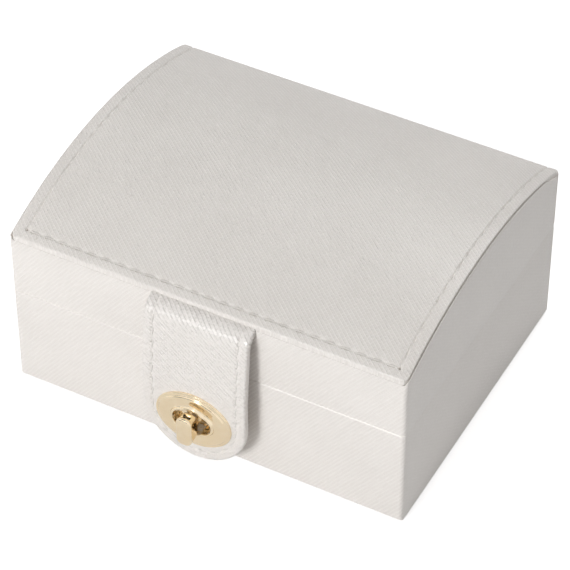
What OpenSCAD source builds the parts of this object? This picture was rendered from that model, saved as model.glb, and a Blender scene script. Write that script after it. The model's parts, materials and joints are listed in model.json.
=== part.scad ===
// Small domed jewelry box: board walls under a leather wrap, a stitched cover
// that runs over the dome and down the back as the hinge, and a strap with a
// turn lock. The front faces -Y, +Z is up, and the origin is at the centre of
// the underside. The solids show the box shut and locked.

/* [Box] */
// Outside width of the walls, left to right
box_w = 120; // [104:1:160]
// Outside depth, front wall to the cover on the back
box_d = 95; // [84:1:130]
// Height of the base, from the table to its rim
base_h = 33.2; // [30:0.2:48]
// Height of the lid's straight front, from its rim to the cover's edge
lid_wall_h = 19.4; // [16.4:0.2:30]
// Rise of the dome above the cover's front and back edges
dome_rise = 9.2; // [6:0.2:16]
// Gap between the two rims when the lid is shut
part_gap = 0.3; // [0.2:0.05:0.8]
// Radius of the upright corners
corner_r = 1.2; // [1:0.1:3]

/* [Boards and coverings] */
// Thickness of the wall boards
board_t = 3; // [2.4:0.2:4]
// Thickness of the floor board
floor_t = 3; // [2:0.2:4]
// Thickness of the curved top board
top_board_t = 2.4; // [1.6:0.2:3.2]
// Thickness of the leather wrap
wrap_t = 1; // [0.6:0.1:1.4]
// Thickness of the stitched cover on the dome and the back
cover_t = 1.4; // [1:0.1:1.8]
// How far the cover's edges lie in from the side and front walls
cover_inset = 0.3; // [0.1:0.05:0.6]
// Thickness of the sheet under the box
sheet_t = 0.8; // [0.6:0.1:1.4]
// How far the underside sheet is set in from the walls
sheet_inset = 2; // [1:0.25:4]
// Thickness of the velvet lining
lining_t = 0.8; // [0.5:0.1:1.2]

/* [Inside the base] */
// Length of the ring rolls, left to right
ring_w = 52; // [40:1:60]
// Number of ring rolls, front to back
ring_count = 5; // [4:1:6]
// Height of the ring rolls
ring_h = 17; // [12:0.5:20]
// Gap between one ring roll and the next
ring_gap = 0.7; // [0.5:0.1:2]
// Thickness of the dividers
divider_t = 2; // [1.6:0.2:3]
// Drop of the dividers' top edges below the base's rim
divider_drop = 6; // [3:0.5:10]
// Share of the depth that the front compartment takes
front_share = 0.56; // [0.4:0.02:0.7]

/* [Inside the lid] */
// Depth of the lid's recess, from its rim to the inner panel
recess_h = 9.6; // [8:0.2:11]
// Thickness of the inner panel
panel_t = 2; // [1.4:0.2:2.4]
// Width of the mirror glass
mirror_w = 78; // [60:1:88]
// Depth of the mirror glass, front to back
mirror_d = 54; // [40:1:62]
// Thickness of the mirror glass
mirror_t = 1.8; // [1.4:0.2:2.4]
// Width of the frame round the mirror
mirror_frame_w = 4; // [3:0.5:6]
// Height of the mirror frame below the inner panel
mirror_frame_t = 2.4; // [2.4:0.2:3]

/* [Hinge cloth] */
// How far the hinge cloth stops short of the side linings
hinge_cloth_inset = 3; // [1:0.5:8]
// How far the hinge cloth reaches from the rims, up and down
hinge_cloth_h = 7; // [5:0.5:8.5]
// Thickness of the hinge cloth
hinge_cloth_t = 0.5; // [0.4:0.1:0.8]

/* [Strap] */
// Width of the strap
strap_w = 31.5; // [28:0.5:38]
// Thickness of the strap's two leathers together
strap_t = 2; // [1.6:0.1:2.6]
// Clear space between the front wall and the strap, at the lock
strap_gap = 4; // [3.6:0.1:4.4]
// Clear space between the front wall and the strap's root
strap_root_gap = 0.6; // [0.5:0.1:0.9]
// Radius of the strap's bend under the cover's edge, to its middle
strap_bend_r = 1.5; // [1.4:0.1:2]
// Lean of the strap's upper part, away from the wall
strap_lean = 5.5; // [5:0.5:9]
// Radius of the easy curve from the lean to upright
strap_curve_r = 30; // [15:1:40]
// Height of the strap's round end above the table
strap_foot = 2.2; // [1:0.2:4]
// Thickness of the strap's tab under the cover
tab_t = 1.2; // [0.8:0.1:1.4]
// Length of the strap's tab under the cover
tab_l = 11; // [8:0.5:14]

/* [Turn lock] */
// Height of the turn knob's axis above the table
lock_z = 16.7; // [15.5:0.1:20]
// Width of the oval plate on the strap
plate_w = 23.2; // [21:0.2:25]
// Height of the oval plate on the strap
plate_h = 18.4; // [17:0.2:19]
// Radius of the oval plate's left and right ends
plate_end_r = 7.6; // [6.5:0.1:8]
// Thickness of the oval plate's outer flange
plate_flange_t = 0.6; // [0.4:0.1:0.7]
// Thickness of the oval plate inside its flange
plate_t = 1.1; // [0.9:0.1:1.5]
// Width of the oval plate's outer flange
plate_flange_w = 0.9; // [0.6:0.1:1.4]
// Width of the raised rim round the slot
rim_w = 0.9; // [0.6:0.1:1.2]
// Height of the slot's rim above the oval plate
rim_h = 0.6; // [0.3:0.1:0.9]
// Length of the slot that the knob passes through
slot_l = 11.6; // [10.8:0.1:12]
// Height of the slot that the knob passes through
slot_h = 5.8; // [5.2:0.1:6]
// Thickness of the sleeve that lines the slot through the strap
sleeve_t = 0.25; // [0.15:0.05:0.25]
// Length of the knob's bar at its outer face
bar_l = 9.6; // [9:0.1:10.4]
// Length of the knob's bar next to the plate
bar_root_l = 8.2; // [7.4:0.1:8.8]
// Width of the knob's bar
bar_w = 4.7; // [4.2:0.1:5]
// Depth of the knob's bar, measured out from the plate
bar_d = 4.2; // [3.8:0.1:4.6]
// Radius of the bar's corners, seen from the front
bar_end_r = 1.9; // [1.2:0.1:2]
// Radius of the bar's outer edges, seen from the side
bar_edge_r = 0.7; // [0.4:0.1:1]
// Radius of the knob's neck
neck_r = 1.9; // [1.5:0.1:2.1]
// Running clearance round the neck
neck_fit = 0.05; // [0.02:0.01:0.1]
// Thickness of the washers and backing plates
washer_t = 0.5; // [0.4:0.1:0.6]
// Width of the base plate's foot on the front wall
foot_w = 17; // [15:0.5:22]
// Height of the base plate's foot
foot_h = 12; // [10:0.5:16]
// Thickness of the base plate's foot
foot_t = 1.2; // [0.8:0.1:1.6]
// Corner radius of the base plate's foot
foot_corner_r = 3; // [2:0.5:4.5]
// Radius of the boss that carries the knob's neck
boss_r = 4.4; // [3:0.1:5]
// Width of the washer behind the front board
washer_w = 15; // [14.4:0.2:20]
// Height of the washer behind the front board
washer_h = 10; // [8:0.5:14]
// Depth left behind the washer for the knob's rivet head
rivet_room = 1; // [0.8:0.1:1.4]
// Radius of the knob's rivet head
rivet_r = 3; // [2.4:0.1:3.5]
// Height of the prongs that hold the plates
prong_w = 2.4; // [1.6:0.1:3]
// Thickness of the prongs
prong_t = 0.8; // [0.5:0.1:1]
// Distance from the knob's axis to each prong of the base plate
foot_prong_x = 6; // [5.4:0.1:6.4]
// Distance from the knob's axis to each prong of the oval plate
plate_prong_x = 8.6; // [8:0.1:9]

/* [Hidden] */
$fn = 72;

eps = 0.01;
far = 400;
play = 0.3;                                   // clearance between bodies

// Walls, outside in
front_y = -box_d / 2;
back_y = box_d / 2;
wrap_back_y = back_y - cover_t;
wall_t = wrap_t + board_t;
lined_t = wall_t + lining_t;
inside_w = box_w - 2 * lined_t;
inside_y0 = front_y + lined_t;
inside_y1 = wrap_back_y - lined_t;
inside_d = inside_y1 - inside_y0;

// Heights
boards_z0 = sheet_t + wrap_t;
boards_z1 = base_h - wrap_t;
floor_z = sheet_t + floor_t + lining_t;
lid_z = base_h + part_gap;
edge_z = lid_z + lid_wall_h;
panel_z = lid_z + recess_h;

// Dome: a round arc across the depth, through both cover edges
dome_r = (pow(box_d / 2, 2) + pow(dome_rise, 2)) / (2 * dome_rise);
dome_z = edge_z + dome_rise - dome_r;

// Strap: hung from an axis just in front of its tab
strap_axis_out = strap_root_gap + strap_t / 2;
tab_y = front_y - strap_root_gap + play;
edge_slope = asin(box_d / 2 / dome_r);
strap_axis_z = edge_z - (cover_t + tab_t / 2) / cos(edge_slope)
    - strap_axis_out * tan(edge_slope);
strap_mid_out = strap_gap + strap_t / 2;
strap_front_y = front_y - strap_gap - strap_t;
strap_lean_l = (strap_mid_out - strap_axis_out - strap_bend_r * cos(strap_lean)
    - strap_curve_r * (1 - cos(strap_lean))) / sin(strap_lean);
strap_bend_z = strap_axis_z - strap_bend_r;
strap_curve_z = strap_bend_z + strap_bend_r * sin(strap_lean)
    - strap_lean_l * cos(strap_lean) - strap_curve_r * sin(strap_lean);
strap_end_r = strap_w / 2;
strap_end_z = strap_foot + strap_end_r;

// Steps in the strap's rounded stretches
bend_steps = 8;
curve_steps = 3;
root_steps = 4;

// Steps in each rounded edge of the knob's bar
edge_steps = 6;

// Turn lock, outside in
bar_inner_y = strap_front_y - plate_t - rim_h - play;
boss_h = strap_gap - washer_t - play;
pocket_d = washer_t + rivet_room;
pocket_y = front_y + wall_t - pocket_d;
rivet_y = pocket_y + washer_t + neck_fit;

// Places inside the base
ring_pitch = inside_d / ring_count;
ring_x0 = -inside_w / 2;
long_divider_x = ring_x0 + ring_w;
right_x0 = long_divider_x + divider_t;
right_w = inside_w / 2 - right_x0;
cross_divider_y = inside_y0 + front_share * inside_d;
divider_h = base_h - divider_drop - floor_z;
divider_y1 = inside_y1 - hinge_cloth_t;

// Plan with round upright corners, from y0 to y1
module round_plan(w, y0, y1, r) {
    translate([-w / 2 + r, y0]) square([w - 2 * r, y1 - y0]);
    translate([-w / 2, y0 + r]) square([w, y1 - y0 - 2 * r]);
    for (x = [-w / 2 + r, w / 2 - r], y = [y0 + r, y1 - r])
        translate([x, y]) circle(r);
}

// Plan of the walls, set in by t from the outside of the wrap: the box's
// round corners, cut straight where the back leather lies on
module wall_plan(t) {
    intersection() {
        round_plan(box_w - 2 * t, front_y + t, back_y, max(corner_r - t, eps));
        translate([-box_w / 2, front_y])
            square([box_w, wrap_back_y - t - front_y]);
    }
}

// Plan of the leather on the back
module back_plan() {
    intersection() {
        round_plan(box_w, front_y, back_y, corner_r);
        translate([-box_w / 2, wrap_back_y]) square([box_w, cover_t]);
    }
}

// A slab of the wall plan between two heights
module wall_slab(t, z0, z1) {
    translate([0, 0, z0]) linear_extrude(z1 - z0) wall_plan(t);
}

// Extrudes a profile drawn in (Y, Z) along X, from x0 over a width w
module along_x(x0, w) {
    translate([x0, 0, 0]) rotate([90, 0, 90]) linear_extrude(w) children();
}

// Extrudes a front view drawn in (X, Z) back along Y, from y0 over a depth d
module along_y(y0, d) {
    translate([0, y0 + d, 0]) rotate([90, 0, 0]) linear_extrude(d) children();
}

// Disc under the dome in (Y, Z), sunk below the cover's outer face
module dome_disc(sunk) {
    translate([0, dome_z]) circle(dome_r - sunk, $fn = 240);
}

// Clips children to what lies under the dome, sunk below its outer face
module under_dome(sunk) {
    intersection() {
        children();
        along_x(-far / 2, far) dome_disc(sunk);
    }
}

// Round hole along Y in the front of the box, at the lock
module lock_hole(r) {
    translate([0, front_y - far / 4, lock_z]) rotate([-90, 0, 0])
        cylinder(h = far / 2, r = r);
}

// Slots for the two prongs of the lock's base plate
module prong_slots(y0, d) {
    for (s = [-1, 1])
        translate([s * foot_prong_x - prong_t / 2, y0, lock_z - prong_w / 2])
            cube([prong_t, d, prong_w]);
}

module board_color() color("BurlyWood") children();
module leather_color() color("Linen") children();
module velvet_color() color("Gainsboro") children();
module gold_color() color("Goldenrod") children();

// ---------- base ----------

module base_floor_board() {
    board_color() wall_slab(wall_t, sheet_t, sheet_t + floor_t);
}

// Side boards of the base or the lid, between two heights
module side_boards(z0, z1) {
    for (s = [-1, 1]) intersection() {
        wall_slab(wrap_t, z0, z1);
        translate([s * (box_w / 2 - wall_t / 2) - wall_t / 2, -far / 2, z0])
            cube([wall_t, far, z1 - z0]);
    }
}

// A board between the side boards, from y0, one board thick
module cross_board(y0, z0, z1) {
    translate([wall_t - box_w / 2, y0, z0])
        cube([box_w - 2 * wall_t, board_t, z1 - z0]);
}

module base_side_boards() {
    board_color() side_boards(boards_z0, boards_z1);
}

module base_front_board() {
    board_color() difference() {
        cross_board(front_y + wrap_t, boards_z0, boards_z1);
        lock_hole(neck_r + play);
        prong_slots(front_y, far / 4);
        translate([-washer_w / 2, pocket_y, lock_z - washer_h / 2])
            cube([washer_w, far / 4, washer_h]);
    }
}

module base_back_board() {
    board_color()
        cross_board(wrap_back_y - wall_t, boards_z0, boards_z1);
}

module base_wrap() {
    leather_color() difference() {
        wall_slab(0, sheet_t, base_h);
        wall_slab(wrap_t, boards_z0, boards_z1);
        wall_slab(wall_t, sheet_t - eps, base_h + eps);
        lock_hole(neck_r + play);
        prong_slots(front_y - eps, wrap_t + 2 * eps);
    }
}

// Leather on the back, between two heights
module back_leather(z0, z1) {
    translate([0, 0, z0]) linear_extrude(z1 - z0) back_plan();
}

module base_back_leather() {
    leather_color() back_leather(sheet_t, base_h);
}

module underside_sheet() {
    color("Silver") wall_slab(sheet_inset, 0, sheet_t);
}

module base_floor_lining() {
    velvet_color() wall_slab(wall_t, sheet_t + floor_t, floor_z);
}

// Lining on the four walls, between two heights
module wall_lining(z0, z1) {
    difference() {
        wall_slab(wall_t, z0, z1);
        wall_slab(lined_t, z0 - eps, z1 + eps);
    }
}

module base_wall_lining() {
    velvet_color() wall_lining(floor_z, base_h);
}

// One ring roll lying along X: straight sides and a half-round top
module ring_roll() {
    w = ring_pitch - ring_gap;
    along_x(ring_x0, ring_w) {
        translate([-w / 2, 0]) square([w, ring_h - w / 2]);
        translate([0, ring_h - w / 2]) circle(w / 2);
    }
}

module ring_rolls() {
    color("WhiteSmoke") for (i = [0:ring_count - 1])
        translate([0, inside_y0 + (i + 0.5) * ring_pitch, floor_z])
            ring_roll();
}

module long_divider() {
    velvet_color() translate([long_divider_x, inside_y0, floor_z])
        cube([divider_t, divider_y1 - inside_y0, divider_h]);
}

module cross_divider() {
    velvet_color() translate([right_x0, cross_divider_y, floor_z])
        cube([right_w, divider_t, divider_h]);
}

module short_divider() {
    y0 = cross_divider_y + divider_t;
    velvet_color()
        translate([right_x0 + (right_w - divider_t) / 2, y0, floor_z])
        cube([divider_t, divider_y1 - y0, divider_h]);
}

module hinge_cloth(z0) {
    w = inside_w - 2 * hinge_cloth_inset;
    velvet_color() translate([-w / 2, inside_y1 - hinge_cloth_t, z0])
        cube([w, hinge_cloth_t, hinge_cloth_h]);
}

// Oblong with round corners in (X, Z) about the lock's axis
module lock_oblong(w, h, r) {
    translate([0, lock_z]) {
        square([w - 2 * r, h], center = true);
        square([w, h - 2 * r], center = true);
        for (x = [-1, 1], z = [-1, 1])
            translate([x * (w / 2 - r), z * (h / 2 - r)]) circle(r);
    }
}

module lock_base_plate() {
    gold_color() difference() {
        union() {
            along_y(front_y - foot_t, foot_t)
                lock_oblong(foot_w, foot_h, foot_corner_r);
            along_y(front_y - boss_h, boss_h)
                translate([0, lock_z]) circle(boss_r);
            prong_slots(front_y - eps, wall_t - pocket_d + washer_t + eps);
        }
        lock_hole(neck_r + neck_fit);
    }
}

module lock_back_washer() {
    gold_color() difference() {
        along_y(pocket_y, washer_t) translate([0, lock_z])
            square([washer_w, washer_h], center = true);
        lock_hole(neck_r + play);
        prong_slots(front_y, far / 4);
    }
}

// ---------- turn knob ----------

// One rounded outer edge of the bar in its side view: the upper for way 1, the
// lower for way -1
function bar_edge(way) = [for (i = [0:edge_steps]) let (
    a = way > 0 ? 90 + 90 * i / edge_steps : 180 + 90 * i / edge_steps
) [bar_edge_r - bar_d, way * (bar_l / 2 - bar_edge_r)]
    + bar_edge_r * [cos(a), sin(a)]];

// Side view of the bar: longer at its outer face than next to the plate
module bar_side() {
    translate([0, lock_z]) polygon(concat(
        [[0, -bar_root_l / 2], [0, bar_root_l / 2]], bar_edge(1), bar_edge(-1)));
}

module turn_knob() {
    gold_color() {
        translate([0, bar_inner_y, 0]) intersection() {
            along_y(-bar_d - eps, bar_d + eps)
                lock_oblong(bar_w, bar_l, bar_end_r);
            along_x(-bar_w, 2 * bar_w) bar_side();
        }
        translate([0, bar_inner_y - eps, lock_z]) rotate([-90, 0, 0])
            cylinder(h = rivet_y - bar_inner_y + 2 * eps, r = neck_r);
        translate([0, rivet_y, lock_z]) rotate([-90, 0, 0])
            cylinder(h = washer_t, r = rivet_r);
    }
}

// ---------- lid ----------

// Space that the strap's tab takes under the cover
module tab_space() {
    difference() {
        under_dome(cover_t)
            translate([-strap_w / 2, tab_y, lid_z])
            cube([strap_w, front_y + tab_l - tab_y, far / 4]);
        along_x(-far / 2, far) dome_disc(cover_t + tab_t);
    }
}

// A lid board under the top board, from y0
module lid_cross_board(y0) {
    under_dome(cover_t + top_board_t)
        cross_board(y0, lid_z + wrap_t, edge_z + dome_rise);
}

module lid_front_board() {
    board_color() lid_cross_board(front_y + wrap_t);
}

module lid_back_board() {
    board_color() lid_cross_board(wrap_back_y - wall_t);
}

module lid_side_boards() {
    board_color() under_dome(cover_t)
        side_boards(lid_z + wrap_t, edge_z + dome_rise);
}

module lid_top_board() {
    board_color() difference() {
        under_dome(cover_t)
            translate([wall_t - box_w / 2, front_y + wrap_t, lid_z + wrap_t])
            cube([box_w - 2 * wall_t, wrap_back_y - wrap_t - front_y - wrap_t,
                far / 4]);
        along_x(-far / 2, far) dome_disc(cover_t + top_board_t);
        tab_space();
    }
}

module lid_wrap() {
    leather_color() difference() {
        under_dome(cover_t) wall_slab(0, lid_z, edge_z + dome_rise);
        wall_slab(wrap_t, lid_z + wrap_t, far);
        wall_slab(wall_t, lid_z - eps, far);
        tab_space();
    }
}

// Side view of the cover's skin over the dome
module cover_side() {
    intersection() {
        difference() {
            dome_disc(0);
            dome_disc(cover_t);
        }
        translate([front_y + cover_inset, edge_z - 2 * cover_t])
            square([box_d - cover_inset, far / 4]);
    }
}

module top_cover() {
    leather_color() {
        along_x(cover_inset - box_w / 2, box_w - 2 * cover_inset) cover_side();
        under_dome(eps) back_leather(lid_z, edge_z + dome_rise);
    }
}

module lid_wall_lining() {
    velvet_color() wall_lining(lid_z, panel_z);
}

module lid_inner_panel() {
    velvet_color() wall_slab(wall_t, panel_z, panel_z + panel_t);
}

// Oblong centred under the inner panel
module mirror_block(w, d, t) {
    translate([-w / 2, (inside_y0 + inside_y1 - d) / 2, panel_z - t])
        cube([w, d, t]);
}

module mirror_glass() {
    color("LightSteelBlue") mirror_block(mirror_w, mirror_d, mirror_t);
}

module mirror_frame() {
    leather_color() difference() {
        mirror_block(mirror_w + 2 * mirror_frame_w,
            mirror_d + 2 * mirror_frame_w, mirror_frame_t);
        translate([0, 0, eps])
            mirror_block(mirror_w, mirror_d, mirror_frame_t + 2 * eps);
    }
}

module strap_tab() {
    leather_color() tab_space();
}

// ---------- strap ----------

// The strap's middle line, moved out by an offset, in a side view where X
// counts out from the front wall. From the top: a bend down from the cover's
// edge, a straight that leans away, an easy curve, and a straight to the foot.
function strap_line(shift) = let (
    bend = [strap_axis_out, strap_bend_z],
    curve = [strap_mid_out - strap_curve_r, strap_curve_z]
) concat(
    [for (i = [0:bend_steps]) let (a = 90 - i * (90 - strap_lean) / bend_steps)
        bend + (strap_bend_r + shift) * [cos(a), sin(a)]],
    [for (i = [0:curve_steps]) let (a = strap_lean * (1 - i / curve_steps))
        curve + (strap_curve_r + shift) * [cos(a), sin(a)]],
    [[strap_mid_out + shift, 0]]
);

// Round end at the axis that the strap swings about, for one leather
function strap_root(inner, outer) = let (first = inner < 0 ? 1 : 0) [
    for (i = [first:first + root_steps - 1]) let (
        a = 180 - 180 / strap_t * (inner + (outer - inner) * i / root_steps)
    ) [strap_axis_out, strap_axis_z] + strap_t / 2 * [cos(a), sin(a)]
];

function reversed(points) = [for (i = [len(points) - 1:-1:0]) points[i]];

// Side view of one strap leather, between two offsets from the middle line
module strap_profile(inner, outer) {
    polygon(concat(strap_line(outer), reversed(strap_line(inner)),
        strap_root(inner, outer)));
}

module strap_side(inner, outer) {
    translate([front_y, 0]) mirror([1, 0]) strap_profile(inner, outer);
}

// Front view of the strap, with its round end
module strap_front() {
    translate([0, strap_end_z]) circle(strap_end_r);
    translate([-strap_w / 2, strap_end_z]) square([strap_w, far / 4]);
}

// Slot that the knob passes through, in (X, Z), widened all round
module slot_front(grow) {
    translate([0, lock_z]) {
        square([slot_l - slot_h, slot_h + 2 * grow], center = true);
        for (s = [-1, 1]) translate([s * (slot_l - slot_h) / 2, 0])
            circle(slot_h / 2 + grow);
    }
}

// Prongs of the oval plate, through the strap
module plate_prongs(y0, d) {
    for (s = [-1, 1])
        translate([s * plate_prong_x - prong_t / 2, y0, lock_z - prong_w / 2])
            cube([prong_t, d, prong_w]);
}

module strap_leather(inner, outer) {
    leather_color() difference() {
        intersection() {
            along_x(-strap_w / 2, strap_w) strap_side(inner, outer);
            along_y(-far / 2, far / 2) strap_front();
        }
        along_y(-far / 2, far / 2) slot_front(play);
        plate_prongs(-far / 2, far / 2);
    }
}

module strap_face() strap_leather(0, strap_t / 2);
module strap_back() strap_leather(-strap_t / 2, 0);

// Four-arc oval in (X, Z) about the lock's axis, set in from the plate's edge
module plate_oval(inset) {
    a = plate_w / 2;
    b = plate_h / 2;
    end_r = plate_end_r;
    side_r = (pow(a - end_r, 2) + b * b - end_r * end_r) / (2 * (b - end_r));
    join_x = (a - end_r) * side_r / (side_r - end_r);
    translate([0, lock_z]) {
        for (s = [-1, 1])
            translate([s * (a - end_r), 0]) circle(end_r - inset);
        intersection() {
            translate([0, b - side_r]) circle(side_r - inset);
            translate([0, side_r - b]) circle(side_r - inset);
            square([2 * join_x * (side_r - inset) / side_r, far],
                center = true);
        }
    }
}

module lock_oval_plate() {
    gold_color() {
        difference() {
            union() {
                along_y(strap_front_y - plate_flange_t, plate_flange_t)
                    plate_oval(0);
                along_y(strap_front_y - plate_t, plate_t)
                    plate_oval(plate_flange_w);
                along_y(strap_front_y - plate_t - rim_h, plate_t + rim_h)
                    slot_front(rim_w);
                along_y(strap_front_y - eps, strap_t + washer_t + eps)
                    slot_front(sleeve_t);
            }
            along_y(-far / 2, far / 2) slot_front(0);
        }
        plate_prongs(strap_front_y - eps, strap_t + washer_t + eps);
    }
}

module lock_oval_backing() {
    gold_color() difference() {
        along_y(front_y - strap_gap, washer_t) plate_oval(plate_flange_w);
        along_y(-far / 2, far / 2) slot_front(play);
        plate_prongs(-far / 2, far / 2);
    }
}

base_floor_board();
base_front_board();
base_back_board();
base_side_boards();
base_wrap();
base_back_leather();
underside_sheet();
base_floor_lining();
base_wall_lining();
ring_rolls();
long_divider();
cross_divider();
short_divider();
hinge_cloth(base_h - hinge_cloth_h);  // hinge_cloth_lower
lock_base_plate();
lock_back_washer();
turn_knob();
lid_front_board();
lid_back_board();
lid_side_boards();
lid_top_board();
lid_wrap();
top_cover();
lid_wall_lining();
lid_inner_panel();
mirror_glass();
mirror_frame();
hinge_cloth(lid_z);  // hinge_cloth_upper
strap_tab();
strap_face();
strap_back();
lock_oval_plate();
lock_oval_backing();
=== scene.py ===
import json
import math

import bmesh
import bpy
import numpy as np
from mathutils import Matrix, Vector


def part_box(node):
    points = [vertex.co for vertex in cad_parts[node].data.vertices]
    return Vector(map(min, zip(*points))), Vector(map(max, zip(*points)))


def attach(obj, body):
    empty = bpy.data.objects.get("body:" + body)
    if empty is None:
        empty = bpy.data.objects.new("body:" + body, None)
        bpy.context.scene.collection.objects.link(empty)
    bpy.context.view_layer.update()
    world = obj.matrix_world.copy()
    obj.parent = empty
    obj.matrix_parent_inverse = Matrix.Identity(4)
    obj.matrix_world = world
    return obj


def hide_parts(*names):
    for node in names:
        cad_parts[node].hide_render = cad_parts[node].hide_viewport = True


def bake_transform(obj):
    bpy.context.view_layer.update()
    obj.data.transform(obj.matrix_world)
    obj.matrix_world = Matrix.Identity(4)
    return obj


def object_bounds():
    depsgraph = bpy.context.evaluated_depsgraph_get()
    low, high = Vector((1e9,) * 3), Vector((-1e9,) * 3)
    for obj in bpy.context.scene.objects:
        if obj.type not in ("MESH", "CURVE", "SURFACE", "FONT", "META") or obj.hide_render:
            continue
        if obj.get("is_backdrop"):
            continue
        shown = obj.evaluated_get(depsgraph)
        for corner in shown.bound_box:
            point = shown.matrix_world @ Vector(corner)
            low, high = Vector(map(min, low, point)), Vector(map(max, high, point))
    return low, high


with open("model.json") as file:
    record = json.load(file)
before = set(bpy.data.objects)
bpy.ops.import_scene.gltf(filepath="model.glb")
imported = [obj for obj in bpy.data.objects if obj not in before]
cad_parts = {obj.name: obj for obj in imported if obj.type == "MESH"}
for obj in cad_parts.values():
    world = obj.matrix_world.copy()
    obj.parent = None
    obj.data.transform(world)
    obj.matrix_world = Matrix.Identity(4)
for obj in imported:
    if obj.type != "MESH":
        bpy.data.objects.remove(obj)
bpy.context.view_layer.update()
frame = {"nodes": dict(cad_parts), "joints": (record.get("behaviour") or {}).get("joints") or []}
mm = 0.001


# A node's lowest and highest corners, in mm
def corners(node):
    low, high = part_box(node)
    return low / mm, high / mm


# An sRGB hex colour as the linear one that the shader takes
def linear(hexColour):
    parts = [int(hexColour[i:i + 2], 16) / 255 for i in (1, 3, 5)]
    return [c / 12.92 if c <= 0.04045 else ((c + 0.055) / 1.055) ** 2.4 for c in parts] + [1.0]


# Puts an object in the scene
def addObject(name, data):
    made = bpy.data.objects.new(name, data)
    bpy.context.scene.collection.objects.link(made)
    return made


# Turns a camera, lamp or card to look along a direction
def aim(thing, way):
    thing.rotation_mode = "QUATERNION"
    thing.rotation_quaternion = way.to_track_quat("-Z", "Y")


# Adds one node: settings go on the node, and each input takes a value or a link
def addNode(tree, kind, inputs=None, **settings):
    node = tree.nodes.new("ShaderNode" + kind)
    for key, value in settings.items():
        setattr(node, key, value)
    for key, value in (inputs or {}).items():
        if isinstance(value, bpy.types.NodeSocket):
            tree.links.new(value, node.inputs[key])
        else:
            node.inputs[key].default_value = value
    return node


# A material with one shader, and the plain settings of its sockets
def startMaterial(name, **sockets):
    material = bpy.data.materials.new(name)
    material.use_nodes = True
    tree = material.node_tree
    tree.nodes.clear()
    shader = addNode(tree, "BsdfPrincipled", sockets)
    addNode(tree, "OutputMaterial", {"Surface": shader.outputs["BSDF"]})
    return material, tree, shader


# Links what drives the shader, and hands the material back
def endMaterial(material, tree, shader, sources):
    for socket, source in sources.items():
        tree.links.new(source, shader.inputs[socket])
    return material


# A place in millimetres, so that a pattern's scale is one over its size in mm
def placeInMm(tree, place=None):
    if place is None:
        place = addNode(tree, "TexCoord").outputs["Object"]
    return addNode(tree, "VectorMath", {0: place, 1: (1000,) * 3}, operation="MULTIPLY").outputs[0]


leatherLook = {
    "coat": "#fbf7f3",              # pearl white top coat
    "pitch": 0.97,                  # mm between grain lines
    "grainAngles": (51.5, 142.0),   # degrees, across each family of lines
    "wander": 0.12,                 # mm that a line strays from side to side
    "waveScale": 0.45,              # its bends are 2.2 mm apart
    "ridgePower": 1.8,              # a higher power makes narrower ridges
    "wornScale": 0.85,              # lines break up every 1.2 mm
    "wornNoise": (0.42, 0.56),
    "wornHeight": (0.45, 1.0),      # share of a ridge's height that is left
    "fineScale": 5.0,               # creases of 0.2 mm
    "fineHeight": 0.15,             # their share of the relief
    "cloudScale": 0.04,             # patches of 25 mm
    "cloudNoise": (0.3, 0.7),
    "cloudTone": (0.25, 0.5),
    "cloudRoughness": (0.38, 0.46),
}
# The hides: height of each family of lines in mm, and the colour between them,
# darker than the coat as painted shade in the grain's valleys. The strap's is
# painted lighter to make up for the shade of its deeper grain
hides = {
    "cover": {"heights": (0.17, 0.08), "valleyShade": "#e4dfda"},
    "strap": {"heights": (0.24, 0.17), "valleyShade": "#f1ece8"},
    "wall": {"heights": (0.03, 0.08), "valleyShade": "#e4dfda"},
}
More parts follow.
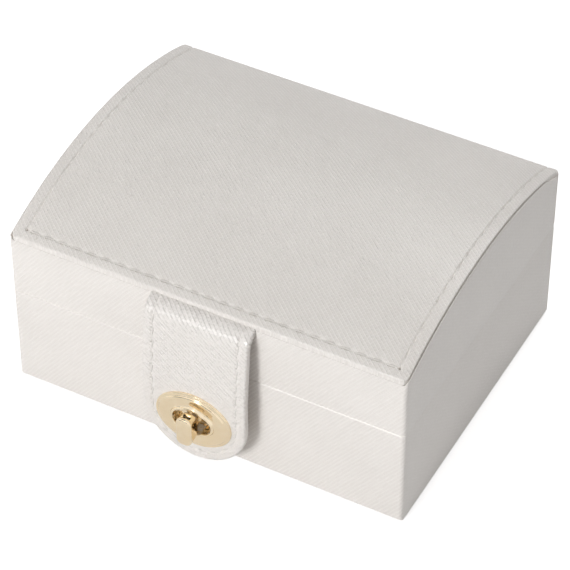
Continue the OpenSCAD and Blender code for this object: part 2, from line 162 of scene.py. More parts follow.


# Coated split leather, plate-embossed with crossed lines and pearl-finished: a
# soft broad gloss over fine raised lines that break up and catch the light, with
# painted shade in the valleys between them
def pearlLeather(hide):
    look, heights = leatherLook, hides[hide]["heights"]
    highest = max(heights)
    material, tree, shader = startMaterial(hide + "EmbossedLeather", **{
        "Metallic": 0.0, "Coat Weight": 0.45, "Coat Roughness": 0.28, "Sheen Weight": 0.04})
    flat = placeInMm(tree, addNode(tree, "Attribute", attribute_name="surface").outputs["Vector"])
    stray = addNode(tree, "TexNoise", {"Vector": flat, "Scale": look["waveScale"], "Detail": 2.0})
    stray = addNode(tree, "VectorMath", {0: stray.outputs["Color"], 1: (0.5,) * 3},
                    operation="SUBTRACT").outputs[0]
    lines = addNode(tree, "VectorMath", {0: stray, 1: (look["wander"],) * 3, 2: flat},
                    operation="MULTIPLY_ADD").outputs[0]
    families = []
    for angle, height in zip(look["grainAngles"], heights):
        across = math.pi / look["pitch"]
        wave = (across * math.cos(math.radians(angle)), across * math.sin(math.radians(angle)), 0)
        phase = addNode(tree, "VectorMath", {0: lines, 1: wave}, operation="DOT_PRODUCT")
        swing = addNode(tree, "Math", {0: phase.outputs["Value"]}, operation="SINE")
        off = addNode(tree, "Math", {0: swing.outputs[0]}, operation="ABSOLUTE")
        ridge = addNode(tree, "Math", {0: 1.0, 1: off.outputs[0]}, operation="SUBTRACT")
        ridge = addNode(tree, "Math", {0: ridge.outputs[0], 1: look["ridgePower"]},
                        operation="POWER")
        families.append(addNode(tree, "Math", {0: ridge.outputs[0], 1: height / highest},
                                operation="MULTIPLY"))
    ridges = addNode(tree, "Math", {0: families[0].outputs[0], 1: families[1].outputs[0]},
                     operation="MAXIMUM")
    worn = addNode(tree, "TexNoise", {"Vector": flat, "Scale": look["wornScale"], "Detail": 3.0})
    worn = addNode(tree, "MapRange", {
        "Value": worn.outputs["Fac"], "From Min": look["wornNoise"][0],
        "From Max": look["wornNoise"][1], "To Min": look["wornHeight"][0],
        "To Max": look["wornHeight"][1]})
    grain = addNode(tree, "Math", {0: ridges.outputs[0], 1: worn.outputs[0]},
                    operation="MULTIPLY").outputs[0]
    fine = addNode(tree, "TexNoise", {"Vector": flat, "Scale": look["fineScale"], "Detail": 3.0})
    relief = addNode(tree, "Math", {0: fine.outputs["Fac"], 1: look["fineHeight"], 2: grain},
                     operation="MULTIPLY_ADD")
    cloud = addNode(tree, "TexNoise", {"Vector": flat, "Scale": look["cloudScale"], "Detail": 3.0})
    tone, gloss = (addNode(tree, "MapRange", {
        "Value": cloud.outputs["Fac"], "From Min": look["cloudNoise"][0],
        "From Max": look["cloudNoise"][1], "To Min": low, "To Max": high})
        for low, high in (look["cloudTone"], look["cloudRoughness"]))
    # Ridges take the coat's colour and the valleys the darker valley colour, which is painted shade
    # in the grain, over a random tone in 25 mm patches
    shade = addNode(tree, "Math", {0: grain, 1: tone.outputs[0]}, operation="ADD", use_clamp=True)
    colour = addNode(tree, "Mix", {0: shade.outputs[0], 6: linear(hides[hide]["valleyShade"]),
                                   7: linear(look["coat"])}, data_type="RGBA")
    bump = addNode(tree, "Bump", {"Height": relief.outputs[0], "Strength": 1.0,
                                  "Distance": highest * mm})
    return endMaterial(material, tree, shader, {
        "Base Color": colour.outputs[2], "Roughness": gloss.outputs[0], "Normal": bump.outputs[0]})


# Short-pile velvet, woven and brushed: dark straight on, light along its edges.
# The nap lies in patches of 20 mm, and its tufts show at 0.3 mm
def pileVelvet(name, deepHex, lightHex):
    material, tree, shader = startMaterial(name, **{
        "Roughness": 0.95, "Sheen Weight": 0.55, "Sheen Roughness": 0.35})
    place = placeInMm(tree)
    nap = addNode(tree, "TexNoise", {"Vector": place, "Scale": 0.05, "Detail": 2.0})
    pile = addNode(tree, "TexNoise", {"Vector": place, "Scale": 3.2, "Detail": 4.0})
    both = addNode(tree, "Mix", {0: 0.55, 2: nap.outputs["Fac"], 3: pile.outputs["Fac"]})
    spread = addNode(tree, "MapRange", {"Value": both.outputs[0], "From Min": 0.3, "From Max": 0.7})
    colour = addNode(tree, "Mix", {0: spread.outputs[0], 6: linear(deepHex), 7: linear(lightHex)},
                     data_type="RGBA")
    bump = addNode(tree, "Bump", {"Height": pile.outputs["Fac"], "Strength": 0.5,
                                  "Distance": 0.25 * mm})
    return endMaterial(material, tree, shader, {
        "Base Color": colour.outputs[2], "Normal": bump.outputs[0]})


# Zinc alloy, die-cast, polished and plated light gold: sharp warm reflections,
# bent a little by waves of 5 mm left in the polish, and dulled in 2 mm patches
def goldPlate():
    material, tree, shader = startMaterial("polishedGoldPlate", Metallic=1.0)
    place = placeInMm(tree)
    wear = addNode(tree, "TexNoise", {"Vector": place, "Scale": 0.5, "Detail": 4.0}).outputs["Fac"]
    rough = addNode(tree, "MapRange", {"Value": wear, "From Min": 0.3, "From Max": 0.7,
                                       "To Min": 0.06, "To Max": 0.12})
    colour = addNode(tree, "Mix", {0: wear, 6: linear("#ecd9b6"), 7: linear("#f5e5ca")},
                     data_type="RGBA")
    ripple = addNode(tree, "TexNoise", {"Vector": place, "Scale": 0.2, "Detail": 1.0})
    bump = addNode(tree, "Bump", {"Height": ripple.outputs["Fac"], "Strength": 0.25,
                                  "Distance": 0.06 * mm})
    return endMaterial(material, tree, shader, {
        "Base Color": colour.outputs[2], "Roughness": rough.outputs[0], "Normal": bump.outputs[0]})


# Spun polyester thread, two plies: matt, with fibres that show at 0.14 mm
def sewingThread():
    material, tree, shader = startMaterial("polyesterThread", **{
        "Roughness": 0.62, "Sheen Weight": 0.2})
    fibre = addNode(tree, "TexNoise", {"Vector": placeInMm(tree), "Scale": 7.0, "Detail": 3.0})
    colour = addNode(tree, "Mix", {0: fibre.outputs["Fac"], 6: linear("#dedad5"),
                                   7: linear("#f3f0ec")}, data_type="RGBA")
    bump = addNode(tree, "Bump", {"Height": fibre.outputs["Fac"], "Strength": 0.4,
                                  "Distance": 0.05 * mm})
    return endMaterial(material, tree, shader, {
        "Base Color": colour.outputs[2], "Normal": bump.outputs[0]})


# Grey board, pressed from waste paper: flat, matt, with loose 0.6 mm fibres
def greyBoard():
    material, tree, shader = startMaterial("greyBoard", Roughness=0.92)
    place = placeInMm(tree)
    fibre = addNode(tree, "TexNoise", {"Vector": place, "Scale": 1.6, "Detail": 6.0,
                                       "Distortion": 1.5}).outputs["Fac"]
    colour = addNode(tree, "Mix", {0: fibre, 6: linear("#8f877c"), 7: linear("#b3aa9d")},
                     data_type="RGBA")
    bump = addNode(tree, "Bump", {"Height": fibre, "Strength": 0.3, "Distance": 0.1 * mm})
    return endMaterial(material, tree, shader, {
        "Base Color": colour.outputs[2], "Normal": bump.outputs[0]})


# Float glass silvered on its back: a clear reflection with faint 12 mm smears
def silveredGlass():
    material, tree, shader = startMaterial("silveredGlass", Metallic=1.0)
    smear = addNode(tree, "TexNoise", {"Vector": placeInMm(tree), "Scale": 0.08, "Detail": 4.0,
                                       "Distortion": 2.0}).outputs["Fac"]
    rough = addNode(tree, "MapRange", {"Value": smear, "From Min": 0.35, "From Max": 0.7,
                                       "To Min": 0.01, "To Max": 0.05})
    colour = addNode(tree, "Mix", {0: smear, 6: linear("#dfe5e4"), 7: linear("#eef1f0")},
                     data_type="RGBA")
    return endMaterial(material, tree, shader, {
        "Base Color": colour.outputs[2], "Roughness": rough.outputs[0]})


# Non-woven felt, needled and pressed: matt grey with a dimple every 1.2 mm
def pressedFelt():
    material, tree, shader = startMaterial("pressedFelt", **{
        "Roughness": 0.95, "Sheen Weight": 0.2})
    place = placeInMm(tree)
    fibre = addNode(tree, "TexNoise", {"Vector": place, "Scale": 2.5, "Detail": 6.0}).outputs["Fac"]
    bond = addNode(tree, "TexVoronoi", {"Vector": place, "Scale": 0.8, "Randomness": 0.0})
    relief = addNode(tree, "Math", {0: fibre, 1: 0.5, 2: bond.outputs["Distance"]},
                     operation="MULTIPLY_ADD")
    colour = addNode(tree, "Mix", {0: fibre, 6: linear("#bdb7b0"), 7: linear("#d8d3cc")},
                     data_type="RGBA")
    bump = addNode(tree, "Bump", {"Height": relief.outputs[0], "Strength": 0.4,
                                  "Distance": 0.15 * mm})
    return endMaterial(material, tree, shader, {
        "Base Color": colour.outputs[2], "Normal": bump.outputs[0]})


coverLeather, strapLeather, wallLeather = (pearlLeather(hide) for hide in hides)
velvet = pileVelvet("liningVelvet", "#c9c0b6", "#e4dcd3")
rollVelvet = pileVelvet("rollVelvet", "#cfc7bd", "#e9e2d9")
gold = goldPlate()
thread = sewingThread()
board = greyBoard()
mirrorSilver = silveredGlass()
felt = pressedFelt()
print("materials made")


# Makes a piece from points in millimetres. surface holds each point's place
# on the flat leather, which the grain follows
def makePiece(name, points, faces, material, surface=None, sharp=40):
    mesh = bpy.data.meshes.new(name)
    mesh.from_pydata((np.array(points, float) * mm).tolist(), [], faces)
    if surface is not None:
        spots = mesh.attributes.new("surface", "FLOAT_VECTOR", "POINT")
        flat = np.zeros((len(points), 3), np.float32)
        flat[:, :2] = np.array(surface, float) * mm
        spots.data.foreach_set("vector", flat.ravel())
    work = bmesh.new()
    work.from_mesh(mesh)
    bmesh.ops.remove_doubles(work, verts=work.verts, dist=2e-6)
    bmesh.ops.dissolve_degenerate(work, edges=work.edges, dist=1e-6)
    bmesh.ops.recalc_face_normals(work, faces=work.faces)
    work.to_mesh(mesh)
    work.free()
    mesh.polygons.foreach_set("use_smooth", [True] * len(mesh.polygons))
    mesh.set_sharp_from_angle(angle=math.radians(sharp))
    mesh.materials.append(material)
    return addObject(name, mesh)


# Faces over a grid of points, which may close round on itself either way
def gridFaces(rows, columns, closeRows=False, closeColumns=False):
    faces = []
    for r in range(rows if closeRows else rows - 1):
        for c in range(columns if closeColumns else columns - 1):
            nextRow, nextColumn = (r + 1) % rows, (c + 1) % columns
            faces.append((r * columns + c, r * columns + nextColumn,
                          nextRow * columns + nextColumn, nextRow * columns + c))
    return faces


# Closed sheet from a top and a bottom grid, shaped (rows, columns, 3), with
# walls on all but its open sides
def sheetSolid(top, bottom, openSides=()):
    rows, columns = top.shape[:2]
    count = rows * columns
    faces = gridFaces(rows, columns)
    faces += [tuple(reversed([count + i for i in f])) for f in gridFaces(rows, columns)]
    borders = {
        "first": range(columns),
        "last": range((rows - 1) * columns, count),
        "left": range(0, count, columns),
        "right": range(columns - 1, count, columns),
    }
    for side, line in borders.items():
        if side not in openSides:
            faces += [(a, b, count + b, count + a) for a, b in zip(line, line[1:])]
    return np.concatenate([top.reshape(-1, 3), bottom.reshape(-1, 3)]), faces


# Closed outline through corners given as (x, y, radius)
def filletLoop(cornerList, steps=5):
    path = []
    count = len(cornerList)
    for i, (x, y, radius) in enumerate(cornerList):
        here = Vector((x, y))
        if not radius:
            path.append((x, y))
            continue
        before = (Vector(cornerList[i - 1][:2]) - here).normalized()
        after = (Vector(cornerList[(i + 1) % count][:2]) - here).normalized()
        half = before.angle(after) / 2
        centre = here + (before + after).normalized() * radius / math.sin(half)
        start = here + before * radius / math.tan(half) - centre
        end = here + after * radius / math.tan(half) - centre
        a0 = math.atan2(start.y, start.x)
        turn = math.atan2(start.x * end.y - start.y * end.x, start.dot(end))
        for k in range(steps + 1):
            a = a0 + turn * k / steps
            path.append((centre.x + radius * math.cos(a), centre.y + radius * math.sin(a)))
    return path


# Gives a piece the mesh that its modifiers make, and takes them off
def applyModifiers(piece):
    graph = bpy.context.evaluated_depsgraph_get()
    mesh = bpy.data.meshes.new_from_object(piece.evaluated_get(graph))
    piece.modifiers.clear()
    piece.data = mesh


# Cuts one piece with a throwaway one
def cutWith(piece, cutter):
    change = piece.modifiers.new("cut", "BOOLEAN")
    change.operation = "DIFFERENCE"
    change.object = cutter
    change.solver = "EXACT"
    applyModifiers(piece)
    bpy.data.objects.remove(cutter)


# Goes from 0 at low to 1 at high, smoothly
def smoothStep(value, low, high):
    t = np.clip((value - low) / (high - low), 0, 1)
    return t * t * (3 - 2 * t)


# How far a rounded edge falls away at a distance in from it
def edgeDrop(distance, radius):
    fall = radius - np.sqrt(np.maximum(radius ** 2 - (radius - distance) ** 2, 0))
    return np.where(distance < radius, fall, 0)


# Depth of the stitch holes along a line, from 0 to 1
def holesAlong(along, pitch):
    return np.cos(np.pi * along / pitch) ** 8


# Distance along a line of points, given by their two coordinates
def runAlong(first, second):
    return np.concatenate([[0], np.cumsum(np.hypot(np.diff(first), np.diff(second)))])


# Point over a bent sheet's middle line: x across it, run along it and height
# out from its face. A path is its spots, as y, z and the way out, and their runs
def pathPoint(path, x, run, height):
    spots, runs = path
    y, z, outY, outZ = (np.interp(run, runs, spots[:, i]) for i in range(4))
    return np.stack([x, y + outY * height, z + outZ * height], axis=-1)


# Measures taken from the frame, in mm
wrapLow, wrapHigh = corners("base_wrap")
backLow, backHigh = corners("base_back_leather")
coverLow, coverHigh = corners("top_cover")
lidLow = corners("lid_wrap")[0]
liningLow, liningHigh = corners("base_wall_lining")
lidLiningLow, lidLiningHigh = corners("lid_wall_lining")
faceLow, faceHigh = corners("strap_face")
plateLow, plateHigh = corners("lock_oval_plate")
knobLow, knobHigh = corners("turn_knob")
halfWidth = wrapHigh.x
frontY = wrapLow.y
backY = backHigh.y
wrapBackY = wrapHigh.y
hingeZ = (wrapHigh.z + lidLow.z) / 2
lockZ = (plateLow.z + plateHigh.z) / 2

dome = {"rise": 9.2, "coverThickness": 1.4, "tabThickness": 1.2}
domeRadius = (backY ** 2 + dome["rise"] ** 2) / (2 * dome["rise"])
domeZ = coverHigh.z - domeRadius


# Height of a line under the dome, sunk below the cover's outer face
def underDome(y, sunk):
    return domeZ + math.sqrt((domeRadius - sunk) ** 2 - y ** 2)


walls = {
    "frontCorner": 1.2,      # upright corners
    "backCorner": 0.3,       # hidden behind the leather on the back
    "cornerSteps": 8,
    "spacing": 2.5,
    "skin": 1.0,             # leather thickness
    "wall": 4.0,             # leather and board
    "rimRound": 0.06,        # where the leather turns over the board's edge
    "frontRound": 0.9,       # the same on the base's front
    "closer": 0.14,          # swell of the leather at the two rims
    "lean": 0.35,            # how far the front leans in under the cover
    "leanHeight": 2.4,
    "lip": 0.9,              # height that the sides stand up beside the cover
    "lipThickness": 0.2,
    "lipFade": (8, 5),       # distances from the back where the lip runs out
    "foldIn": 0.2,           # rounding inside the turned edge
    "underCover": 0.12,      # how far the lid's front edge lies up inside the cover
}


# Stations round the walls, counter-clockwise from the back left corner. Each
# holds the corner's centre, the way out, its radius, its mitre and the
# distance along the leather, which is 0 at the middle of the front
def wallStations(extraX=()):
    signs = ((-1, 1), (-1, -1), (1, -1), (1, 1))
    radii = (walls["backCorner"], walls["frontCorner"], walls["frontCorner"], walls["backCorner"])
    middle, halfDepth = (frontY + wrapBackY) / 2, (wrapBackY - frontY) / 2
    centres = [(sx * (halfWidth - r), middle + sy * (halfDepth - r))
               for (sx, sy), r in zip(signs, radii)]
    stations = []
    for i, (centre, radius) in enumerate(zip(centres, radii)):
        for k in range(walls["cornerSteps"] + 1):
            a = math.radians(90 * (i + 1 + k / walls["cornerSteps"]))
            stations.append((centre, (math.cos(a), math.sin(a)), radius, signs[i]))
        a = math.radians(90 * (i + 2))
        way = (math.cos(a), math.sin(a))
        ahead, aheadRadius = centres[(i + 1) % 4], radii[(i + 1) % 4]
        start = Vector(centre) + Vector(way) * radius
        end = Vector(ahead) + Vector(way) * aheadRadius
        cuts = int((end - start).length / walls["spacing"])
        shares = [k / cuts for k in range(1, cuts)]
        if i == 1:
            shares += [(x - start.x) / (end.x - start.x) for x in extraX]
        for share in sorted(shares):
            stations.append((tuple(start.lerp(end, share)), way, 0.0, way))
    placed, along, last = [], 0.0, None
    for centre, way, radius, mitre in stations:
        spot = Vector(centre) + Vector(way) * radius
        along += (spot - last).length if last else 0.0
        last = spot
        placed.append([centre, way, radius, mitre, along])
    front = next(s for s in placed if s[2] == 0.0 and s[1][1] < -0.9)
    shift = front[4] - front[0][0]
    for s in placed:
        s[4] -= shift
    return placed


# Where a station's point lies at an inset from the outer face
def insetSpot(station, inset):
    centre, way, radius, mitre, _ = station
    out = max(radius - inset, 0.0)
    deep = max(inset - radius, 0.0)
    return (centre[0] + way[0] * out - mitre[0] * deep,
            centre[1] + way[1] * out - mitre[1] * deep)


# Sweeps a section of (inset, height) points round the walls
def sweepWalls(name, section, material, stations):
    points, surface = [], []
    for station in stations:
        outline = section(station) if callable(section) else section
        heights = [z for _, z in outline]
        middle = (min(heights) + max(heights)) / 2
        for inset, z in outline:
            x, y = insetSpot(station, inset)
            points.append((x, y, z))
            surface.append((station[4], z + inset if z > middle else z - inset))
    faces = gridFaces(len(stations), len(outline), closeRows=True, closeColumns=True)
    return makePiece(name, points, faces, material, surface)


skin, wall, rim, foldIn = (walls[key] for key in ("skin", "wall", "rimRound", "foldIn"))


# How far a station faces the front, from 0 to 1
def frontShare(station):
    return float(smoothStep(-station[1][1], 0.3, 0.95))


# The base's leather: its front edges are rounder than those of its sides
def baseSection(station):
    bend = rim + (walls["frontRound"] - rim) * frontShare(station)
    top = wrapHigh.z + walls["closer"]
    return filletLoop([
        (wall, wrapLow.z, 0), (0, wrapLow.z, bend), (0, top, bend), (wall, top, 0),
        (wall, wrapHigh.z - skin, 0), (skin, wrapHigh.z - skin, foldIn),
        (skin, wrapLow.z + skin, foldIn), (wall, wrapLow.z + skin, 0)])


baseWrap = sweepWalls("baseWrap", baseSection, wallLeather, wallStations())
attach(baseWrap, "base")
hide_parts("base_wrap")

tabHalf = faceHigh.x


# The lid's leather: it leans in under the cover at the front, stands up beside
# the cover at the sides, and is cut lower where the strap's tab passes
def lidSection(station):
    x, y = insetSpot(station, 0)
    sunk = dome["coverThickness"]
    if station[1][1] < -0.9 and abs(x) < tabHalf + 0.01:
        sunk += dome["tabThickness"]
    front = frontShare(station)
    top = underDome(min(max(y, frontY), wrapBackY), sunk) + walls["underCover"] * front
    lean, height = walls["lean"] * front, walls["leanHeight"]
    fadeFrom, fadeTo = (wrapBackY - distance for distance in walls["lipFade"])
    beside = (1 - front) * (1 - float(smoothStep(y, fadeFrom, fadeTo)))
    lip, thick = walls["lip"] * beside, walls["lipThickness"]
    foot = lidLow.z - walls["closer"]
    bottom = filletLoop([(wall, foot, 0), (0, foot, rim), (0, top, 0)])[:-1]
    shoulder = [(lean * t * t, top - height * (1 - t)) for t in (0, 0.25, 0.5, 0.7, 0.85)]
    lipLine = [(lean, top + lip * 0.92), (lean + thick * 0.3, top + lip),
               (lean + thick * 0.7, top + lip), (lean + thick, top + lip * 0.92),
               (lean + thick, top)]
    inside = filletLoop([(skin, top, 0), (skin, lidLow.z + skin, foldIn),
                         (wall, lidLow.z + skin, 0)])
    return bottom + shoulder + lipLine + inside


tabEdges = (-tabHalf - 0.05, -tabHalf, tabHalf, tabHalf + 0.05)
lidWrap = sweepWalls("lidWrap", lidSection, wallLeather, wallStations(tabEdges))
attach(lidWrap, "lid")
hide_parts("lid_wrap")

liningSize = {"thickness": 0.8, "edgeRound": 0.35}
lined = wall + liningSize["thickness"]
for name, node, body, low, high, freeEdge in (
        ("baseWallLining", "base_wall_lining", "base", liningLow.z, liningHigh.z, "top"),
        ("lidWallLining", "lid_wall_lining", "lid", lidLiningLow.z, lidLiningHigh.z, "bottom")):
    section = filletLoop([
        (lined, low, liningSize["edgeRound"] if freeEdge == "bottom" else 0), (wall, low, 0),
        (wall, high, 0), (lined, high, liningSize["edgeRound"] if freeEdge == "top" else 0)])
    lining = sweepWalls(name, section, velvet, wallStations())
    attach(lining, body)
    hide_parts(node)
print("wraps and linings made")

cover = {
    "thickness": dome["coverThickness"],
    "setIn": 0.42,           # its side edges, in from the walls
    "lead": 1.0,             # its path starts this far before its front edge
    "domeSpots": 240,        # points of its path over the dome
    "filletSpots": 24,       # round its fillet
    "backSpots": 120,        # and down the back
    "backFillet": 1.2,       # where it turns down the back
    "sideEase": 5,           # length over which it widens and its edges square up
    "edgeRound": 0.6,        # its front edge
    "sideRound": 0.3,        # its side edges
    "cornerRound": 1.6,      # its two front corners, seen from above
    "frontStitch": 3.2,      # stitch line's distance from the front edge
    "sideStitch": 3.4,       # and from the side edges
    "pitch": 4.5,            # one stitch and the gap after it
    "frontGroove": (0.16, 0.45),     # depth and half width
    "sideGroove": (0.3, 0.26),
    "grooveStart": 0.6,      # length over which a groove starts at the corner
    "puff": 0.07,            # rise of the border outside the stitch line
    "holeDepth": 0.4,
    "cornerHole": (1.3, 0.3),        # depth and half width where the lines meet
    "crease": (0.3, 0.8),    # depth and half width of the fold at the hinge
    "tuck": 0.04,            # its underside, in from its edges
}
domeHalf = halfWidth - cover["setIn"]


# The cover's outer face from its front edge, over the dome and down the back
def coverPath():
    fillet = cover["backFillet"]
    filletY = backY - fillet
    filletZ = domeZ + math.sqrt((domeRadius - fillet) ** 2 - filletY ** 2)
    start = math.atan2(coverLow.y, math.sqrt(domeRadius ** 2 - coverLow.y ** 2))
    start -= cover["lead"] / domeRadius
    end = math.atan2(filletY, filletZ - domeZ)
    spots = []
    for a in np.linspace(start, end, cover["domeSpots"]):
        spots.append((domeRadius * math.sin(a), domeZ + domeRadius * math.cos(a),
                      math.sin(a), math.cos(a)))
    for a in np.linspace(end, math.pi / 2, cover["filletSpots"])[1:]:
        spots.append((filletY + fillet * math.sin(a), filletZ + fillet * math.cos(a),
                      math.sin(a), math.cos(a)))
    for z in np.linspace(filletZ, backLow.z, cover["backSpots"])[1:]:
        spots.append((backY, z, 1.0, 0.0))
    spots = np.array(spots)
    return spots, runAlong(spots[:, 0], spots[:, 1]) - cover["lead"]


coverLine = coverPath()
coverRun = coverLine[1]
coverLength = coverRun[-1]
turnRun = float(coverRun[cover["domeSpots"] + cover["filletSpots"] - 1])
hingeRun = coverLength - (hingeZ - backLow.z)


# The cover's half width without its round corners: set in on the dome, flush
# on the back
def coverSide(run):
    return domeHalf + cover["setIn"] * smoothStep(run, turnRun - cover["sideEase"], turnRun)


# And with them
def coverHalf(run):
    return coverSide(run) - edgeDrop(run, cover["cornerRound"])


# Height of the cover's face over its own smooth path
def coverRelief(x, run):
    fromSide = coverSide(run) - np.abs(x)
    r = cover["cornerRound"]
    inCorner = (fromSide < r) & (run < r)
    edge = np.where(inCorner, r - np.hypot(r - fromSide, r - run), np.minimum(fromSide, run))
    toFront = smoothStep(fromSide - run, -0.5, 0.5)
    bend = cover["sideRound"] + (cover["edgeRound"] - cover["sideRound"]) * toFront
    squared = smoothStep(run, turnRun - cover["sideEase"], turnRun)
    bend = bend + (cover["thickness"] - bend) * squared
    onDome = 1 - smoothStep(run, turnRun - 1, turnRun + 4)
    stitched = 1 - smoothStep(run, hingeRun - 4, hingeRun - 2)
    sideDepth, sideWide = cover["sideGroove"]
    frontDepth, frontWide = cover["frontGroove"]
    sideOff, frontOff = fromSide - cover["sideStitch"], run - cover["frontStitch"]
    insideFront = smoothStep(sideOff, -cover["grooveStart"], 0)
    insideSide = smoothStep(frontOff, -cover["grooveStart"], 0)
    sideGroove = np.exp(-(sideOff / sideWide) ** 2) * insideSide * stitched
    frontGroove = np.exp(-(frontOff / frontWide) ** 2) * insideFront
    groove = np.maximum(sideGroove * sideDepth, frontGroove * frontDepth)
    along = np.where(sideGroove > frontGroove, frontOff, x)
    hole = holesAlong(along, cover["pitch"]) * cover["holeDepth"]
    hole = hole * np.maximum(sideGroove, frontGroove)
    cornerDepth, cornerWide = cover["cornerHole"]
    hole = hole + cornerDepth * np.exp(-(sideOff ** 2 + frontOff ** 2) / cornerWide ** 2)
    border = np.minimum(fromSide / cover["sideStitch"], run / cover["frontStitch"])
    puff = cover["puff"] * np.sin(np.pi * np.clip(border, 0, 1)) ** 0.8 * onDome
    creaseDepth, creaseWide = cover["crease"]
    crease = creaseDepth * np.exp(-((run - hingeRun) / creaseWide) ** 2)
    return puff - edgeDrop(edge, bend) - groove - hole - crease


# Where the mesh's lines lie: close together at the edges, the stitch lines and
# the hinge. First in from the sides, then along the path
edgeSteps = [0, 0.02, 0.06, 0.12, 0.2, 0.3, 0.45, 0.7, 1.0, 1.4, 1.8, 2.2, 2.6, 2.85, 3.05, 3.2,
             3.3, 3.4, 3.5, 3.6, 3.75, 3.95, 4.2, 4.6, 5.2, 6.0]
innerSteps = list(np.arange(8, 58.5, cover["pitch"] / 2))
runs = [0, 0.02, 0.06, 0.12, 0.2, 0.3, 0.45, 0.6, 0.8, 1.1, 1.5, 2.0, 2.4, 2.7, 2.9, 3.05, 3.2,
        3.35, 3.5, 3.7, 4.0, 4.4, 4.9, 5.5]
runs += list(np.arange(6.3, turnRun - 4, 0.9))
runs += list(np.linspace(turnRun - 4, turnRun + 1, 14))
runs += list(np.arange(turnRun + 2, hingeRun - 3, 1.1))
runs += list(np.linspace(hingeRun - 2.6, hingeRun + 2.6, 19))
runs += list(np.arange(hingeRun + 4, coverLength - 1, 3.0)) + [coverLength]
runs = np.array(runs)
half = coverHalf(runs)
fromEdge = np.array(edgeSteps + innerSteps)
fromEdge = fromEdge[fromEdge < domeHalf - 1]
left = -half[:, None] + fromEdge[None, :]
across = np.concatenate([left, np.zeros((len(runs), 1)), -left[:, ::-1]], axis=1)
down = np.repeat(runs[:, None], across.shape[1], axis=1)
coverTop = pathPoint(coverLine, across, down, coverRelief(across, down))
underAcross = across * (1 - cover["tuck"] / np.maximum(half[:, None], 1))
# The underside reaches as far forward as the face, so the front edge is upright
forward = cover["thickness"] * -coverLow.y / domeRadius
underDown = np.maximum(down, cover["tuck"]) - forward * (1 - smoothStep(down, 0.0, 2.0))
coverUnder = pathPoint(coverLine, underAcross, underDown,
                       np.full_like(across, -cover["thickness"]))
points, faces = sheetSolid(coverTop, coverUnder)
flatCover = np.stack([across, down], axis=-1).reshape(-1, 2)
topCover = makePiece("topCover", points, faces, coverLeather,
                     np.concatenate([flatCover, flatCover]), sharp=60)
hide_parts("top_cover", "base_back_leather")
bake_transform(topCover)
print("top cover made")

threadSize = {
    "radius": 0.2,
    "endRadius": 0.75,       # share of it that is left where the thread dives
    "gap": 0.85,             # between two stitches, where the thread dives
    "dive": 0.42,            # how far its ends go down
    "arch": 0.45,            # a lower power makes a flatter stitch with steeper ends
    "slant": 0.16,           # how far its two ends lie off the line
    "twist": 2.6,            # turns of the two plies in one stitch
    "ply": 0.1,              # how far they stand out, as a share of the radius
    "sides": 10,
    "rings": 11,
}


# One stitch for each pitch along a line. placeAt gives a point for a distance
# along the line, a sideways offset and a height, and stand is how far the
# thread's middle stands over the groove
def sewLine(placeAt, start, end, pitch, stand, store):
    points, faces = store
    size = threadSize
    sides, rings = size["sides"], size["rings"]
    count = int(round((end - start) / pitch))
    step = (end - start) / max(count, 1)
    for i in range(count):
        a, b = start + i * step + size["gap"] / 2, start + (i + 1) * step - size["gap"] / 2
        first = len(points)
        for ring in range(rings):
            share = ring / (rings - 1)
            run = a + (b - a) * share
            lift = math.sin(math.pi * share) ** size["arch"] if 0 < share < 1 else 0.0
            height = -size["dive"] + (stand + size["dive"]) * lift
            radius = size["radius"] * (size["endRadius"] + (1 - size["endRadius"]) * lift)
            aside = size["slant"] * (2 * share - 1)
            middle = Vector(placeAt(run, aside, height))
            sideways = (Vector(placeAt(run, aside + 0.1, height)) - middle).normalized()
            upward = (Vector(placeAt(run, aside, height + 0.1)) - middle).normalized()
            for k in range(sides):
                angle = 2 * math.pi * k / sides
                ply = 1 + size["ply"] * math.cos(2 * angle - 2 * math.pi * size["twist"] * share)
                out = sideways * math.cos(angle) + upward * math.sin(angle)
                points.append(tuple(middle + out * radius * ply))
        faces += [tuple(first + v for v in f) for f in gridFaces(rings, sides, closeColumns=True)]
        faces.append(tuple(first + k for k in reversed(range(sides))))
        faces.append(tuple(first + (rings - 1) * sides + k for k in range(sides)))


# Where a stitch runs on the cover: along its front edge, down a side edge
def onFront(s, aside, height):
    level = height - cover["frontGroove"][0]
    return pathPoint(coverLine, np.array(s), np.array(cover["frontStitch"] + aside),
                     np.array(level))


def onSide(sign, s, aside, height):
    x = sign * (float(coverSide(np.array(s))) - cover["sideStitch"] - aside)
    level = height - cover["sideGroove"][0]
    return pathPoint(coverLine, np.array(x), np.array(s), np.array(level))


coverStitches = ([], [])
stitchX = domeHalf - cover["sideStitch"]
# How far the thread's middle stands over each groove
frontStand, sideStand, strapStand = 0.12, 0.0, 0.06
sewLine(onFront, -stitchX, stitchX, cover["pitch"], frontStand, coverStitches)
for sign in (-1, 1):
    sewLine(lambda s, aside, height: onSide(sign, s, aside, height), cover["frontStitch"],
            hingeRun - 3, cover["pitch"], sideStand, coverStitches)
coverThread = makePiece("coverThread", *coverStitches, thread)
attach(coverThread, "lid")
print("cover stitching made")

